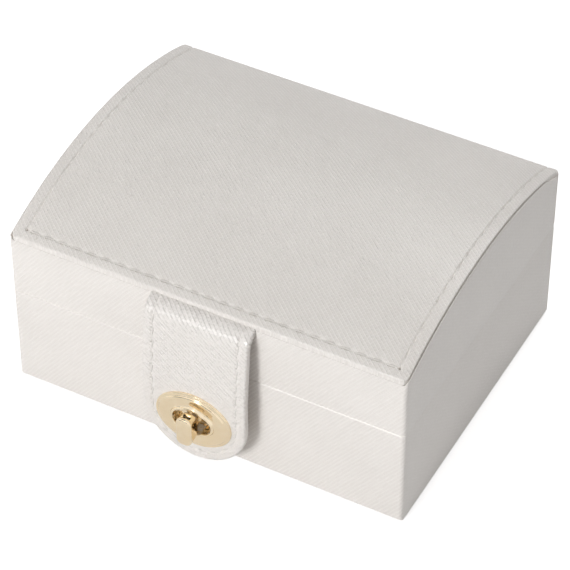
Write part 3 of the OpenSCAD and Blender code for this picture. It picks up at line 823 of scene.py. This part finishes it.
flap = next(j for j in frame["joints"] if j["name"] == "strap_flap")
axisY, axisZ = flap["pos_m"][1] / mm, flap["pos_m"][2] / mm
layer = 1.0
strap = {
    "half": faceHigh.x,
    "layer": layer,          # thickness of each of its two leathers
    "axisOut": frontY - axisY,      # its axis in front of the wall
    "bendRadius": 1.5,       # of the plain solid's fold
    "foldRadius": 4.2,       # of this one, which touches the same two lines
    "upper": 68,             # degrees that its face looks up where the fold starts
    "lean": 5.5,             # and below the fold, where it leans out to its foot
    "curveRadius": 30.0,     # of the bend from there to its upright part
    "middleOut": frontY - faceLow.y - layer,    # its middle in front of the wall
    "tabLength": 11.0,
    "backStart": 12,         # path point where its back leather starts
    "sewStart": 24,          # and where its stitching starts
    "spacing": 0.8,          # between the mesh's lines down its sides
    "roundCount": 64,        # and their number round its foot
    "edgeRound": 0.55,
    "edgeTuck": 0.12,        # back leather's inner face, in from its edge
    "stitchInset": 2.9,      # stitch line's distance from its edge
    "pitch": 4.2,
    "grooveDepth": 0.2,
    "grooveWidth": 0.35,     # half width
    "puff": 0.07,
    "holeDepth": 0.36,
}


# The strap's middle line, from the inner end of its tab over the fold, down the
# leaning part and the curve below it, to its upright foot
def strapPath():
    spots = []
    depth = dome["coverThickness"] + dome["tabThickness"] / 2
    radius = domeRadius - depth
    startY, endY = frontY + strap["tabLength"], frontY - 0.2
    for y in np.linspace(startY, endY, 14):
        a = math.asin(y / radius)
        spots.append((y, domeZ + radius * math.cos(a), math.sin(a), math.cos(a)))
    upper, lean = math.radians(strap["upper"]), math.radians(strap["lean"])
    fold, curve = strap["foldRadius"], strap["curveRadius"]
    back = (fold - strap["bendRadius"]) / (1 + math.cos(upper - lean))
    foldOut = strap["axisOut"] - back * (math.cos(upper) + math.cos(lean))
    foldZ = axisZ - strap["bendRadius"] - back * (math.sin(upper) + math.sin(lean))
    for a in np.linspace(upper, lean, 16):
        spots.append((frontY - foldOut - fold * math.cos(a), foldZ + fold * math.sin(a),
                      -math.cos(a), math.sin(a)))
    easeOut = strap["middleOut"] - curve * (1 - math.cos(lean))
    bendOut = foldOut + fold * math.cos(lean)
    leanLength = (easeOut - bendOut) / math.sin(lean)
    topZ = foldZ + fold * math.sin(lean)
    for share in np.linspace(0, 1, 18)[1:]:
        out = bendOut + leanLength * share * math.sin(lean)
        z = topZ - leanLength * share * math.cos(lean)
        spots.append((frontY - out, z, -math.cos(lean), math.sin(lean)))
    curveZ = topZ - leanLength * math.cos(lean) - curve * math.sin(lean)
    for a in np.linspace(lean, 0, 8)[1:]:
        out = strap["middleOut"] - curve * (1 - math.cos(a))
        spots.append((frontY - out, curveZ + curve * math.sin(a), -math.cos(a), math.sin(a)))
    for z in np.linspace(curveZ, faceLow.z, 30)[1:]:
        spots.append((frontY - strap["middleOut"], z, -1.0, 0.0))
    spots = np.array(spots)
    return spots, runAlong(spots[:, 0], spots[:, 1])


strapLine = strapPath()
strapSpots, strapRun = strapLine
roundCentre = strapRun[-1] - strap["half"]


# Outline of the flat strap, inset from its edge: down one side, round the foot
# and up the other, from a given distance along it
def strapOutline(inset, firstRun, sideCount, roundCount):
    half = strap["half"] - inset
    sideRuns = np.linspace(firstRun, roundCentre, sideCount)
    angles = np.linspace(math.pi, 0, roundCount)[1:-1]
    x = np.concatenate([np.full(sideCount, -half), half * np.cos(angles), np.full(sideCount, half)])
    run = np.concatenate([sideRuns, roundCentre + half * np.sin(angles), sideRuns[::-1]])
    return x, run


# Mesh lines from the strap's edge inwards, close together at the stitch line
strapInsets = [0, 0.04, 0.12, 0.25, 0.4, 0.6, 0.9, 1.3, 1.7, 2.1, 2.4, 2.65, 2.9, 3.15, 3.4, 3.8,
               4.4, 5.4, 7, 9, 12, strap["half"]]


# One of the strap's two leathers, between two heights over its middle line. The
# face carries the rounded edge, the groove and the stitch holes
def strapLayer(name, firstRun, outer, inner, isFace):
    sideCount = int((roundCentre - firstRun) / strap["spacing"])
    tops, unders = [], []
    for inset in strapInsets:
        x, run = strapOutline(inset, firstRun, sideCount, strap["roundCount"])
        dip = float(edgeDrop(inset, strap["edgeRound"]))
        if isFace:
            groove = math.exp(-((inset - strap["stitchInset"]) / strap["grooveWidth"]) ** 2)
            hole = holesAlong(runAlong(x, run), strap["pitch"]) * strap["holeDepth"] * groove
            border = min(inset / strap["stitchInset"], 1.0)
            puff = strap["puff"] * math.sin(math.pi * border) ** 0.8
            relief = puff - groove * strap["grooveDepth"] - hole
            tops.append(pathPoint(strapLine, x, run, outer - dip + relief))
            unders.append(pathPoint(strapLine, x, run, np.full_like(x, inner)))
        else:
            tucked = min(inset + strap["edgeTuck"], strap["half"])
            tuckX, tuckRun = strapOutline(tucked, firstRun, sideCount, strap["roundCount"])
            tops.append(pathPoint(strapLine, tuckX, tuckRun, np.full_like(x, outer)))
            unders.append(pathPoint(strapLine, x, run, np.full_like(x, inner + dip * 0.8)))
    top, under = (np.array(side).transpose(1, 0, 2) for side in (tops, unders))
    points, faces = sheetSolid(top, under, openSides=("right",))
    return makePiece(name, points, faces, strapLeather, sharp=60)


lockSlot = {"length": 11.6, "height": 5.8, "play": 0.3}


# Outline of an oblong with round ends, as points round it
def oblongOutline(length, height, count=48):
    r = height / 2
    spots = []
    for k in range(count):
        a = 2 * math.pi * (k + 0.5) / count
        shift = (length / 2 - r) * (1 if math.cos(a) > 0 else -1)
        spots.append((shift + r * math.cos(a), r * math.sin(a)))
    return spots


# Cutter for the slot that the knob passes through
def slotCutter(yFrom, yTo):
    outline = oblongOutline(lockSlot["length"] + 2 * lockSlot["play"],
                            lockSlot["height"] + 2 * lockSlot["play"])
    count = len(outline)
    points = [(x, y, lockZ + z) for y in (yFrom, yTo) for x, z in outline]
    faces = [(k, (k + 1) % count, count + (k + 1) % count, count + k) for k in range(count)]
    faces += [tuple(reversed(range(count))), tuple(range(count, 2 * count))]
    return makePiece("slotCutter", points, faces, strapLeather)


strapFace = strapLayer("strapFace", 0.0, strap["layer"], 0.0, True)
strapBack = strapLayer("strapBack", float(strapRun[strap["backStart"]]), 0.0, -strap["layer"],
                       False)


# Gives each point of a cut piece its place on the flat leather
def layFlat(piece):
    mesh = piece.data
    spots = np.array([v.co for v in mesh.vertices]) / mm
    nearest = ((spots[:, None, 1:] - strapSpots[None, :, :2]) ** 2).sum(axis=2).argmin(axis=1)
    along = np.stack([strapSpots[nearest, 3], -strapSpots[nearest, 2]], axis=-1)
    extra = ((spots[:, 1:] - strapSpots[nearest, :2]) * -along).sum(axis=1)
    flat = np.zeros((len(spots), 3), np.float32)
    flat[:, 0] = spots[:, 0] * mm
    flat[:, 1] = -(strapRun[nearest] + extra) * mm
    mesh.attributes.new("surface", "FLOAT_VECTOR", "POINT").data.foreach_set("vector", flat.ravel())


for piece in (strapFace, strapBack):
    cutWith(piece, slotCutter(frontY - 10, frontY - 1))
    layFlat(piece)
    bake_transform(piece)
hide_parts("strap_face", "strap_tab")
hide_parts("strap_back")

strapStitches = ([], [])
outlineX, outlineRun = strapOutline(strap["stitchInset"], float(strapRun[strap["sewStart"]]),
                                    160, 120)
outlineAround = runAlong(outlineX, outlineRun)


# And round the strap's edge
def onStrap(s, aside, height):
    x = float(np.interp(s, outlineAround, outlineX))
    run = float(np.interp(s, outlineAround, outlineRun))
    if run > roundCentre:
        out = math.hypot(x, run - roundCentre)
        wayX, wayRun = x / out, (run - roundCentre) / out
    else:
        wayX, wayRun = math.copysign(1, x), 0.0
    level = strap["layer"] - strap["grooveDepth"] + height
    return pathPoint(strapLine, np.array(x + wayX * aside), np.array(run + wayRun * aside),
                     np.array(level))


sewLine(onStrap, 0.0, float(outlineAround[-1]), strap["pitch"], strapStand, strapStitches)
strapThread = makePiece("strapThread", *strapStitches, thread)
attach(strapThread, "strap")
print("strap made")


# Radius of a closed outline for each angle, looked up from its points
def radiusTable(outline):
    spots = np.array(outline)
    angles = np.arctan2(spots[:, 1], spots[:, 0])
    order = np.argsort(angles)
    angles, radii = angles[order], np.hypot(spots[:, 0], spots[:, 1])[order]
    angles = np.concatenate([angles - 2 * np.pi, angles, angles + 2 * np.pi])
    return angles, np.tile(radii, 3)


# Four-arc oval, as points round it
def ovalOutline(width, height, endRadius):
    a, b = width / 2, height / 2
    sideRadius = ((a - endRadius) ** 2 + b * b - endRadius ** 2) / (2 * (b - endRadius))
    join = math.atan2(a - endRadius, sideRadius - b)
    spots = []
    for centre, radius, fromAngle, toAngle in (
            ((a - endRadius, 0), endRadius, -(math.pi / 2 - join), math.pi / 2 - join),
            ((0, b - sideRadius), sideRadius, math.pi / 2 - join, math.pi / 2 + join),
            ((endRadius - a, 0), endRadius, math.pi / 2 + join, 3 * math.pi / 2 - join),
            ((0, sideRadius - b), sideRadius, 3 * math.pi / 2 - join, 3 * math.pi / 2 + join)):
        for k in range(60):
            t = fromAngle + (toAngle - fromAngle) * k / 60
            spots.append((centre[0] + radius * math.cos(t), centre[1] + radius * math.sin(t)))
    return spots


plate = {
    "endRadius": 7.6,
    "count": 120,
    # From the outer edge inwards: distance in from the edge, and height
    "flange": [(0.0, 0.0), (0.0, 0.28), (0.06, 0.46), (0.2, 0.57), (0.4, 0.6), (0.8, 0.6),
               (0.95, 0.66), (1.05, 0.82), (1.2, 0.98), (1.45, 1.1), (1.8, 1.14)],
    "fallPower": 1.4,        # between the two, its face falls slowly and then faster
    # From the slot outwards: distance out from the slot's edge, and height
    "rim": [(1.5, 0.84), (1.15, 0.86), (1.0, 0.98), (0.92, 1.2), (0.8, 1.42), (0.62, 1.6),
            (0.42, 1.68), (0.22, 1.62), (0.08, 1.46), (0.0, 1.2), (0.0, -2.5), (0.25, -2.5),
            (0.25, 0.0)],
}


def ovalPlate():
    ovalAngles, ovalRadii = radiusTable(
        ovalOutline(plateHigh.x - plateLow.x, plateHigh.z - plateLow.z, plate["endRadius"]))
    slotAngles, slotRadii = radiusTable(
        oblongOutline(lockSlot["length"], lockSlot["height"], 200))
    points = []
    for k in range(plate["count"]):
        a = 2 * math.pi * k / plate["count"] - math.pi
        outer = float(np.interp(a, ovalAngles, ovalRadii))
        inner = float(np.interp(a, slotAngles, slotRadii))
        ring = [(outer - inset, h) for inset, h in plate["flange"]]
        edgeIn, edgeHeight = outer - plate["flange"][-1][0], plate["flange"][-1][1]
        slotOut, slotHeight = inner + plate["rim"][0][0], plate["rim"][0][1]
        for share in (0.25, 0.5, 0.75):
            fall = math.sin(share * math.pi / 2) ** plate["fallPower"]
            ring.append((edgeIn + (slotOut - edgeIn) * share,
                         edgeHeight + (slotHeight - edgeHeight) * fall))
        ring += [(inner + out, h) for out, h in plate["rim"]]
        for radius, h in ring:
            points.append((radius * math.cos(a), faceLow.y - h, lockZ + radius * math.sin(a)))
    columns = len(points) // plate["count"]
    faces = gridFaces(plate["count"], columns, closeRows=True, closeColumns=True)
    return makePiece("ovalPlate", points, faces, gold, sharp=75)


ovalPiece = ovalPlate()
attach(ovalPiece, "strap")
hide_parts("lock_oval_plate")

knob = {
    "halfWidth": 2.35,
    "rootHalf": 4.1,         # half its height next to the plate
    "faceHalf": 4.8,         # and near its outer face
    "corner": 1.9,           # its four corners, seen from the front
    "edge": 0.7,             # rounding of its outer edges
    "depth": 4.2,
    "crown": 0.12,           # swell of its outer face
    "neck": 1.9,             # radius
    "neckIn": 0.5,           # length of the neck inside the block
    "rivet": 3.0,            # radius of the head behind the wall
    "rivetThickness": 0.5,
    "rivetEdge": (0.3, 0.15),        # its bevel, across and along
    "neckSides": 40,
}


# Rectangle with round corners, as points round it
def roundBlock(halfX, halfZ, radius, count=96):
    spots = []
    for k in range(count):
        a = 2 * math.pi * (k + 0.5) / count
        cx, cz = math.cos(a), math.sin(a)
        sx, sz = math.copysign(1, cx), math.copysign(1, cz)
        spots.append((sx * (halfX - radius) + radius * cx, sz * (halfZ - radius) + radius * cz))
    return spots


# A block-shaped bar that grows towards its outer face, on a round neck with a
# rivet head
def turnKnob():
    innerY = knobLow.y + knob["depth"]
    edge, crown, neck, rivet = (knob[key] for key in ("edge", "crown", "neck", "rivet"))
    flatDepth = knob["depth"] - crown
    rings = [(1.7, 0.0), (0.25, 0.0), (0.07, 0.06), (0.0, 0.25)]     # inset and depth
    rings += [(0.0, d) for d in np.linspace(0.8, flatDepth - edge, 6)]
    rings += [(edge * (1 - math.cos(a)), flatDepth - edge + edge * math.sin(a))
              for a in np.linspace(0, math.pi / 2, 9)[1:]]
    rings += [(inset, flatDepth + crown * rise)
              for inset, rise in ((1.0, 0.45), (1.35, 0.8), (1.7, 1.0))]
    points = []
    for inset, depth in rings:
        share = min(depth / (flatDepth - edge), 1.0)
        halfHeight = knob["rootHalf"] + (knob["faceHalf"] - knob["rootHalf"]) * share
        outline = roundBlock(knob["halfWidth"] - inset, halfHeight - inset, knob["corner"] - inset)
        points += [(x, innerY - depth, lockZ + z) for x, z in outline]
    count = len(outline)
    faces = gridFaces(len(rings), count, closeColumns=True)
    faces.append(tuple(reversed(range(count))))
    faces.append(tuple((len(rings) - 1) * count + k for k in range(count)))
    first = len(points)
    neckY, rivetY = innerY - knob["neckIn"], knobHigh.y - knob["rivetThickness"]
    bevelAcross, bevelAlong = knob["rivetEdge"]
    turned = [(0.0, neckY), (neck, neckY), (neck, rivetY), (rivet, rivetY),
              (rivet, knobHigh.y - bevelAlong), (rivet - bevelAcross, knobHigh.y),
              (0.0, knobHigh.y)]
    for k in range(knob["neckSides"]):
        a = 2 * math.pi * k / knob["neckSides"]
        points += [(r * math.cos(a), y, lockZ + r * math.sin(a)) for r, y in turned]
    faces += [tuple(first + i for i in f)
              for f in gridFaces(knob["neckSides"], len(turned), closeRows=True)]
    return makePiece("turnKnob", points, faces, gold, sharp=50)


knobPiece = turnKnob()
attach(knobPiece, "knob")
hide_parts("turn_knob")


basePlate = {"halfX": 8.5, "halfZ": 6.0, "corner": 3.0, "foot": 1.2, "boss": 4.4, "bore": 1.95}


def circleLoop(radius):
    return roundBlock(radius, radius, radius)


def footLoop(inset):
    return roundBlock(basePlate["halfX"] - inset, basePlate["halfZ"] - inset,
                      basePlate["corner"] - inset)


# The lock's seat on the wall: a foot with a round boss, bored for the knob's
# neck. Each loop is an outline and how far back or forward it lies
def lockSeat():
    footY, bossY = frontY - basePlate["foot"], corners("lock_base_plate")[0].y
    boss, bore = basePlate["boss"], basePlate["bore"]
    loops = [
        (circleLoop(bore), frontY), (footLoop(0), frontY), (footLoop(0), footY + 0.4),
        (footLoop(0.12), footY + 0.12), (footLoop(0.4), footY), (circleLoop(boss + 0.5), footY),
        (circleLoop(boss + 0.1), footY - 0.15), (circleLoop(boss), footY - 0.4),
        (circleLoop(boss), bossY + 0.35), (circleLoop(boss - 0.12), bossY + 0.1),
        (circleLoop(boss - 0.4), bossY), (circleLoop(bore), bossY)]
    points = [(x, y, lockZ + z) for outline, y in loops for x, z in outline]
    faces = gridFaces(len(loops), len(loops[0][0]), closeRows=True, closeColumns=True)
    return makePiece("lockBasePlate", points, faces, gold, sharp=50)


seat = lockSeat()
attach(seat, "base")
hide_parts("lock_base_plate")
print("turn lock made")

roll = {
    "count": 5,
    "gap": 0.7,              # between two rolls
    "shrink": 0.55,          # each starts this much smaller than its room
    "room": (0.05, 0.25, 0.4),       # how far it may come in at the ends, and out and up
    "archSpots": 22,
    "stations": 14,
    "voxel": 1.6,
    "pressure": 4.0,
    "frames": 20,            # of cloth simulation
    "cap": 1.1,              # how far a point may move
    "scale": 10.0,           # it is blown up at this scale, where the solver is steady
}


# Foam roll under velvet: straight sides and a round top
def rollShape(name, low, high):
    midY, r = (low.y + high.y) / 2, (high.y - low.y) / 2
    outline = [(midY - r, low.z), (midY + r, low.z)]
    outline += [(midY + r * math.cos(a), high.z - r + r * math.sin(a))
                for a in np.linspace(0, math.pi, roll["archSpots"])]
    points, count, stations = [], len(outline), roll["stations"]
    for i in range(stations):
        share = i / (stations - 1)
        x = low.x + (high.x - low.x) * share
        points += [(x, y, z) for y, z in outline]
    faces = gridFaces(stations, count, closeColumns=True)
    faces += [tuple(range(count)), tuple(reversed(range((stations - 1) * count, stations * count)))]
    return makePiece(name, points, faces, rollVelvet)


# Blows the piece up as cloth over its filling, which also pulls its ends in
def inflate(piece, low, high):
    scale = roll["scale"]
    for v in piece.data.vertices:
        v.co *= scale
    change = piece.modifiers.new("remesh", "REMESH")
    change.mode = "VOXEL"
    change.voxel_size = roll["voxel"] * mm * scale
    applyModifiers(piece)
    mesh = piece.data
    start = np.array([v.co for v in mesh.vertices])
    moved = start
    cloth = piece.modifiers.new("filling", "CLOTH")
    cloth.settings.use_pressure = True
    cloth.settings.uniform_pressure_force = roll["pressure"]
    cloth.settings.effector_weights.gravity = 0
    cloth.settings.quality = 5
    for tick in range(1, roll["frames"] + 1):
        bpy.context.scene.frame_set(tick)
    graph = bpy.context.evaluated_depsgraph_get()
    moved = np.array([v.co for v in piece.evaluated_get(graph).data.vertices])
    piece.modifiers.clear()
    bpy.context.scene.frame_set(1)
    step = moved - start
    far = np.linalg.norm(step, axis=1, keepdims=True)
    step *= np.minimum(1, roll["cap"] * mm * scale / np.maximum(far, 1e-9))
    done = np.clip((start + step) / scale, np.array(low) * mm, np.array(high) * mm)
    mesh.vertices.foreach_set("co", done.astype(np.float32).ravel())
    mesh.update()
    smooth = piece.modifiers.new("smooth", "SUBSURF")
    smooth.levels = smooth.render_levels = 1
    applyModifiers(piece)
    mesh = piece.data
    mesh.polygons.foreach_set("use_smooth", [True] * len(mesh.polygons))
    mesh.materials.clear()
    mesh.materials.append(rollVelvet)


rollsLow, rollsHigh = corners("ring_rolls")
pitchY = (rollsHigh.y - rollsLow.y + roll["gap"]) / roll["count"]
inset = Vector((roll["shrink"],) * 3)
endRoom, sideRoom, topRoom = roll["room"]
for i in range(roll["count"]):
    y0 = rollsLow.y + i * pitchY
    low = Vector((rollsLow.x, y0, rollsLow.z))
    high = Vector((rollsHigh.x, y0 + pitchY - roll["gap"], rollsHigh.z))
    ringRoll = rollShape(f"ringRoll{i + 1}", low + inset, high - inset)
    inflate(ringRoll, low + Vector((endRoom, -sideRoom, 0)),
            high + Vector((-endRoom, sideRoom, topRoom)))
    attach(ringRoll, "base")
    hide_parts("ring_rolls")
print("ring rolls made")


# Block with softened edges that fills a CAD node's box
def softBlock(name, node, radius, material):
    low, high = corners(node)
    work = bmesh.new()
    bmesh.ops.create_cube(work, size=1.0)
    for v in work.verts:
        v.co = Vector((low[i] + (high[i] - low[i]) * (v.co[i] + 0.5) for i in range(3)))
    bmesh.ops.bevel(work, geom=work.edges[:], offset=radius, segments=4, affect="EDGES",
                    profile=0.5)
    points = [tuple(v.co) for v in work.verts]
    faces = [tuple(v.index for v in f.verts) for f in work.faces]
    work.free()
    return makePiece(name, points, faces, material, sharp=60)


# Dividers and panel of velvet over board, and the mirror with its ground edge
for name, node, body, radius, material, slot in (
        ("longDivider", "long_divider", "base", 0.7, velvet, "velvet"),
        ("crossDivider", "cross_divider", "base", 0.7, velvet, "velvet"),
        ("shortDivider", "short_divider", "base", 0.7, velvet, "velvet"),
        ("lidInnerPanel", "lid_inner_panel", "lid", 0.4, velvet, "velvet"),
        ("mirrorGlass", "mirror_glass", "lid", 0.25, mirrorSilver, "mirror")):
    block = softBlock(name, node, radius, material)
    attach(block, body)
    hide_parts(node)

mirrorRim = {"outerRound": 1.1, "innerRound": 0.9, "corner": 2.5}


# Leather-covered frame: a rounded section carried round the glass
def mirrorFrame():
    low, high = corners("mirror_frame")
    middle = (low + high) / 2
    halfX, halfY = (high.x - low.x) / 2, (high.y - low.y) / 2
    band = corners("mirror_glass")[0].x - low.x
    section = filletLoop([(0, low.z, mirrorRim["outerRound"]), (0, high.z, 0), (band, high.z, 0),
                          (band, low.z, mirrorRim["innerRound"])], steps=6)
    points, surface = [], []
    corner, steps = mirrorRim["corner"], 8
    for i, (sx, sy) in enumerate(((-1, 1), (-1, -1), (1, -1), (1, 1))):
        for k in range(steps + 1):
            a = math.radians(90 * (i + 1 + k / steps))
            for inset, z in section:
                r = max(corner - inset, 0)
                deep = max(inset - corner, 0)
                x = sx * (halfX - corner - deep) + r * math.cos(a)
                y = sy * (halfY - corner - deep) + r * math.sin(a)
                points.append((middle.x + x, middle.y + y, z))
                surface.append((middle.x + x, middle.y + y + z))
    faces = gridFaces(4 * (steps + 1), len(section), closeRows=True, closeColumns=True)
    return makePiece("mirrorFrame", points, faces, wallLeather, surface)


framePiece = mirrorFrame()
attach(framePiece, "lid")
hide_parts("mirror_frame")

clothLow = corners("hinge_cloth_lower")[0]
clothHigh = corners("hinge_cloth_upper")[1]


# Velvet ribbon over the inside of the hinge, from the base to the lid. Its mesh
# lines are 0.2 mm apart where it bends
def hingeRibbon():
    heights = np.concatenate([np.linspace(clothLow.z, hingeZ - 4, 5),
                              np.linspace(hingeZ - 3.6, hingeZ + 3.6, 37),
                              np.linspace(hingeZ + 4, clothHigh.z, 5)])
    across = np.linspace(clothLow.x, clothHigh.x, 30)
    x, z = np.meshgrid(across, heights)
    front = np.stack([x, np.full_like(x, clothLow.y), z], axis=-1)
    back = np.stack([x, np.full_like(x, clothHigh.y), z], axis=-1)
    points, faces = sheetSolid(front, back)
    return makePiece("hingeRibbon", points, faces, velvet)


ribbon = hingeRibbon()
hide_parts("hinge_cloth_lower", "hinge_cloth_upper")
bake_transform(ribbon)

# CAD nodes that stay in view, with better materials
finishes = {
    board: ["base_floor_board", "base_front_board", "base_back_board", "base_side_boards",
            "lid_front_board", "lid_back_board", "lid_side_boards", "lid_top_board"],
    velvet: ["base_floor_lining"],
    gold: ["lock_back_washer", "lock_oval_backing"],
    felt: ["underside_sheet"],
}
for material, names in finishes.items():
    for name in names:
        mesh = frame["nodes"][name].data
        mesh.materials.clear()
        mesh.materials.append(material)
print("inside made")

# Target, distance and lens in mm, and the angles in degrees
camera = {"target": (3.64, -8.4, 30.62), "distance": 787.8, "azimuth": 28.225,
          "elevation": 43.037, "lens": 180.3}
azimuth, elevation = math.radians(camera["azimuth"]), math.radians(camera["elevation"])
backwards = Vector((math.sin(azimuth) * math.cos(elevation),
                    -math.cos(azimuth) * math.cos(elevation), math.sin(elevation)))
lensData = bpy.data.cameras.new("camera")
lensData.lens = camera["lens"]
lensData.sensor_width = 36
lensData.clip_start, lensData.clip_end = 0.01, 20
eye = addObject("camera", lensData)
eye.location = (Vector(camera["target"]) + backwards * camera["distance"]) * mm
aim(eye, -backwards)
bpy.context.scene.camera = eye

# Each lamp: the way from the box towards it, its distance and size in metres,
# and its power in watts
lamps = {
    "key": ((-0.21, -0.90, 0.33), 1.2, 0.4, 7.8),
    "top": ((0.05, 0.60, 0.80), 1.2, 0.9, 5.8),
    "glint": ((-0.21, -0.90, 0.33), 1.2, 0.1, 9.0),
}
# The key lights what it falls on, and the small glint beside it is what shines
# back from it, so that highlights stay thin
unseen = {"key": "visible_glossy", "glint": "visible_diffuse"}
studio = {
    "sky": 0.235,                     # strength of the light from all round
    "skyTint": (1.0, 0.97, 0.94, 1.0),
    "floorGlow": 0.6,                 # lifts the floor to white for the camera
    "floorGlossy": 0.25,              # and for reflections
    "boxMiddle": 0.03,                # height that the lamps are set about
    "floorReach": 3.0,
}
for name, (way, distance, size, power) in lamps.items():
    lampData = bpy.data.lights.new(name, "AREA")
    lampData.shape = "DISK"
    lampData.size = size
    lampData.energy = power
    lamp = addObject(name, lampData)
    way = Vector(way).normalized()
    lamp.location = way * distance + Vector((0, 0, studio["boxMiddle"]))
    aim(lamp, -way)
    if name in unseen:
        setattr(lamp, unseen[name], False)

# The world is a plain sky for the light, and white wherever it is seen
world = bpy.data.worlds.new("studio")
bpy.context.scene.world = world
world.use_nodes = True
sky = world.node_tree
sky.nodes.clear()
rays = addNode(sky, "LightPath")
seen = addNode(sky, "Math", {0: rays.outputs["Is Camera Ray"], 1: rays.outputs["Is Glossy Ray"]},
               operation="MAXIMUM")
seen = addNode(sky, "Math", {0: seen.outputs[0], 1: rays.outputs["Is Transmission Ray"]},
               operation="MAXIMUM")
level = addNode(sky, "MapRange", {"Value": seen.outputs[0], "To Min": studio["sky"], "To Max": 1.0})
tint = addNode(sky, "Mix", {0: seen.outputs[0], 6: studio["skyTint"], 7: (1, 1, 1, 1)},
               data_type="RGBA")
glow = addNode(sky, "Background", {"Color": tint.outputs[2], "Strength": level.outputs[0]})
addNode(sky, "OutputWorld", {"Surface": glow.outputs[0]})

# A flat sheet of a given size about its own middle
def flatSheet(name, width, height, material):
    mesh = bpy.data.meshes.new(name)
    x, y = width / 2, height / 2
    mesh.from_pydata([(-x, -y, 0), (x, -y, 0), (x, y, 0), (-x, y, 0)], [], [(0, 1, 2, 3)])
    mesh.materials.append(material)
    return addObject(name, mesh)


# Matt white paper, rolled out under the box
floorMaterial, floorTree, floorShader = startMaterial("paperFloor", **{
    "Base Color": linear("#f4f4f4"), "Roughness": 0.9, "Specular IOR Level": 0.0,
    "Emission Color": (1, 1, 1, 1)})
rays = addNode(floorTree, "LightPath")
seen = addNode(floorTree, "Math", {0: rays.outputs["Is Camera Ray"],
                                   1: rays.outputs["Is Transmission Ray"]}, operation="MAXIMUM")
seen = addNode(floorTree, "Math", {0: seen.outputs[0], 1: studio["floorGlow"]},
               operation="MULTIPLY")
lift = addNode(floorTree, "Math", {0: rays.outputs["Is Glossy Ray"], 1: studio["floorGlossy"],
                                   2: seen.outputs[0]}, operation="MULTIPLY_ADD")
floorTree.links.new(lift.outputs[0], floorShader.inputs["Emission Strength"])
floor = flatSheet("floor", 2 * studio["floorReach"], 2 * studio["floorReach"], floorMaterial)
floor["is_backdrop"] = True

# Dark cards that only reflections see: they draw the dark lines on the gold.
# Each has its place and its size, in metres
cardMaterial = startMaterial("blackCard", **{
    "Base Color": linear("#1a120c"), "Roughness": 1.0, "Specular IOR Level": 0.0})[0]
cards = {
    "lowCard": ((-0.45, -1.15, 0.22), (1.5, 0.36)),
    "highCard": ((-0.45, 0.10, 1.25), (0.7, 0.30)),
}
for name, (place, (width, height)) in cards.items():
    card = flatSheet(name, width, height, cardMaterial)
    card.location = place
    aim(card, -Vector(place))
    card.visible_camera = card.visible_diffuse = card.visible_shadow = False
    card.visible_transmission = card.visible_volume_scatter = False
    card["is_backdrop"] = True
bpy.context.scene.view_settings.view_transform = "Standard"
print("camera, floor and light made")

low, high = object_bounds()
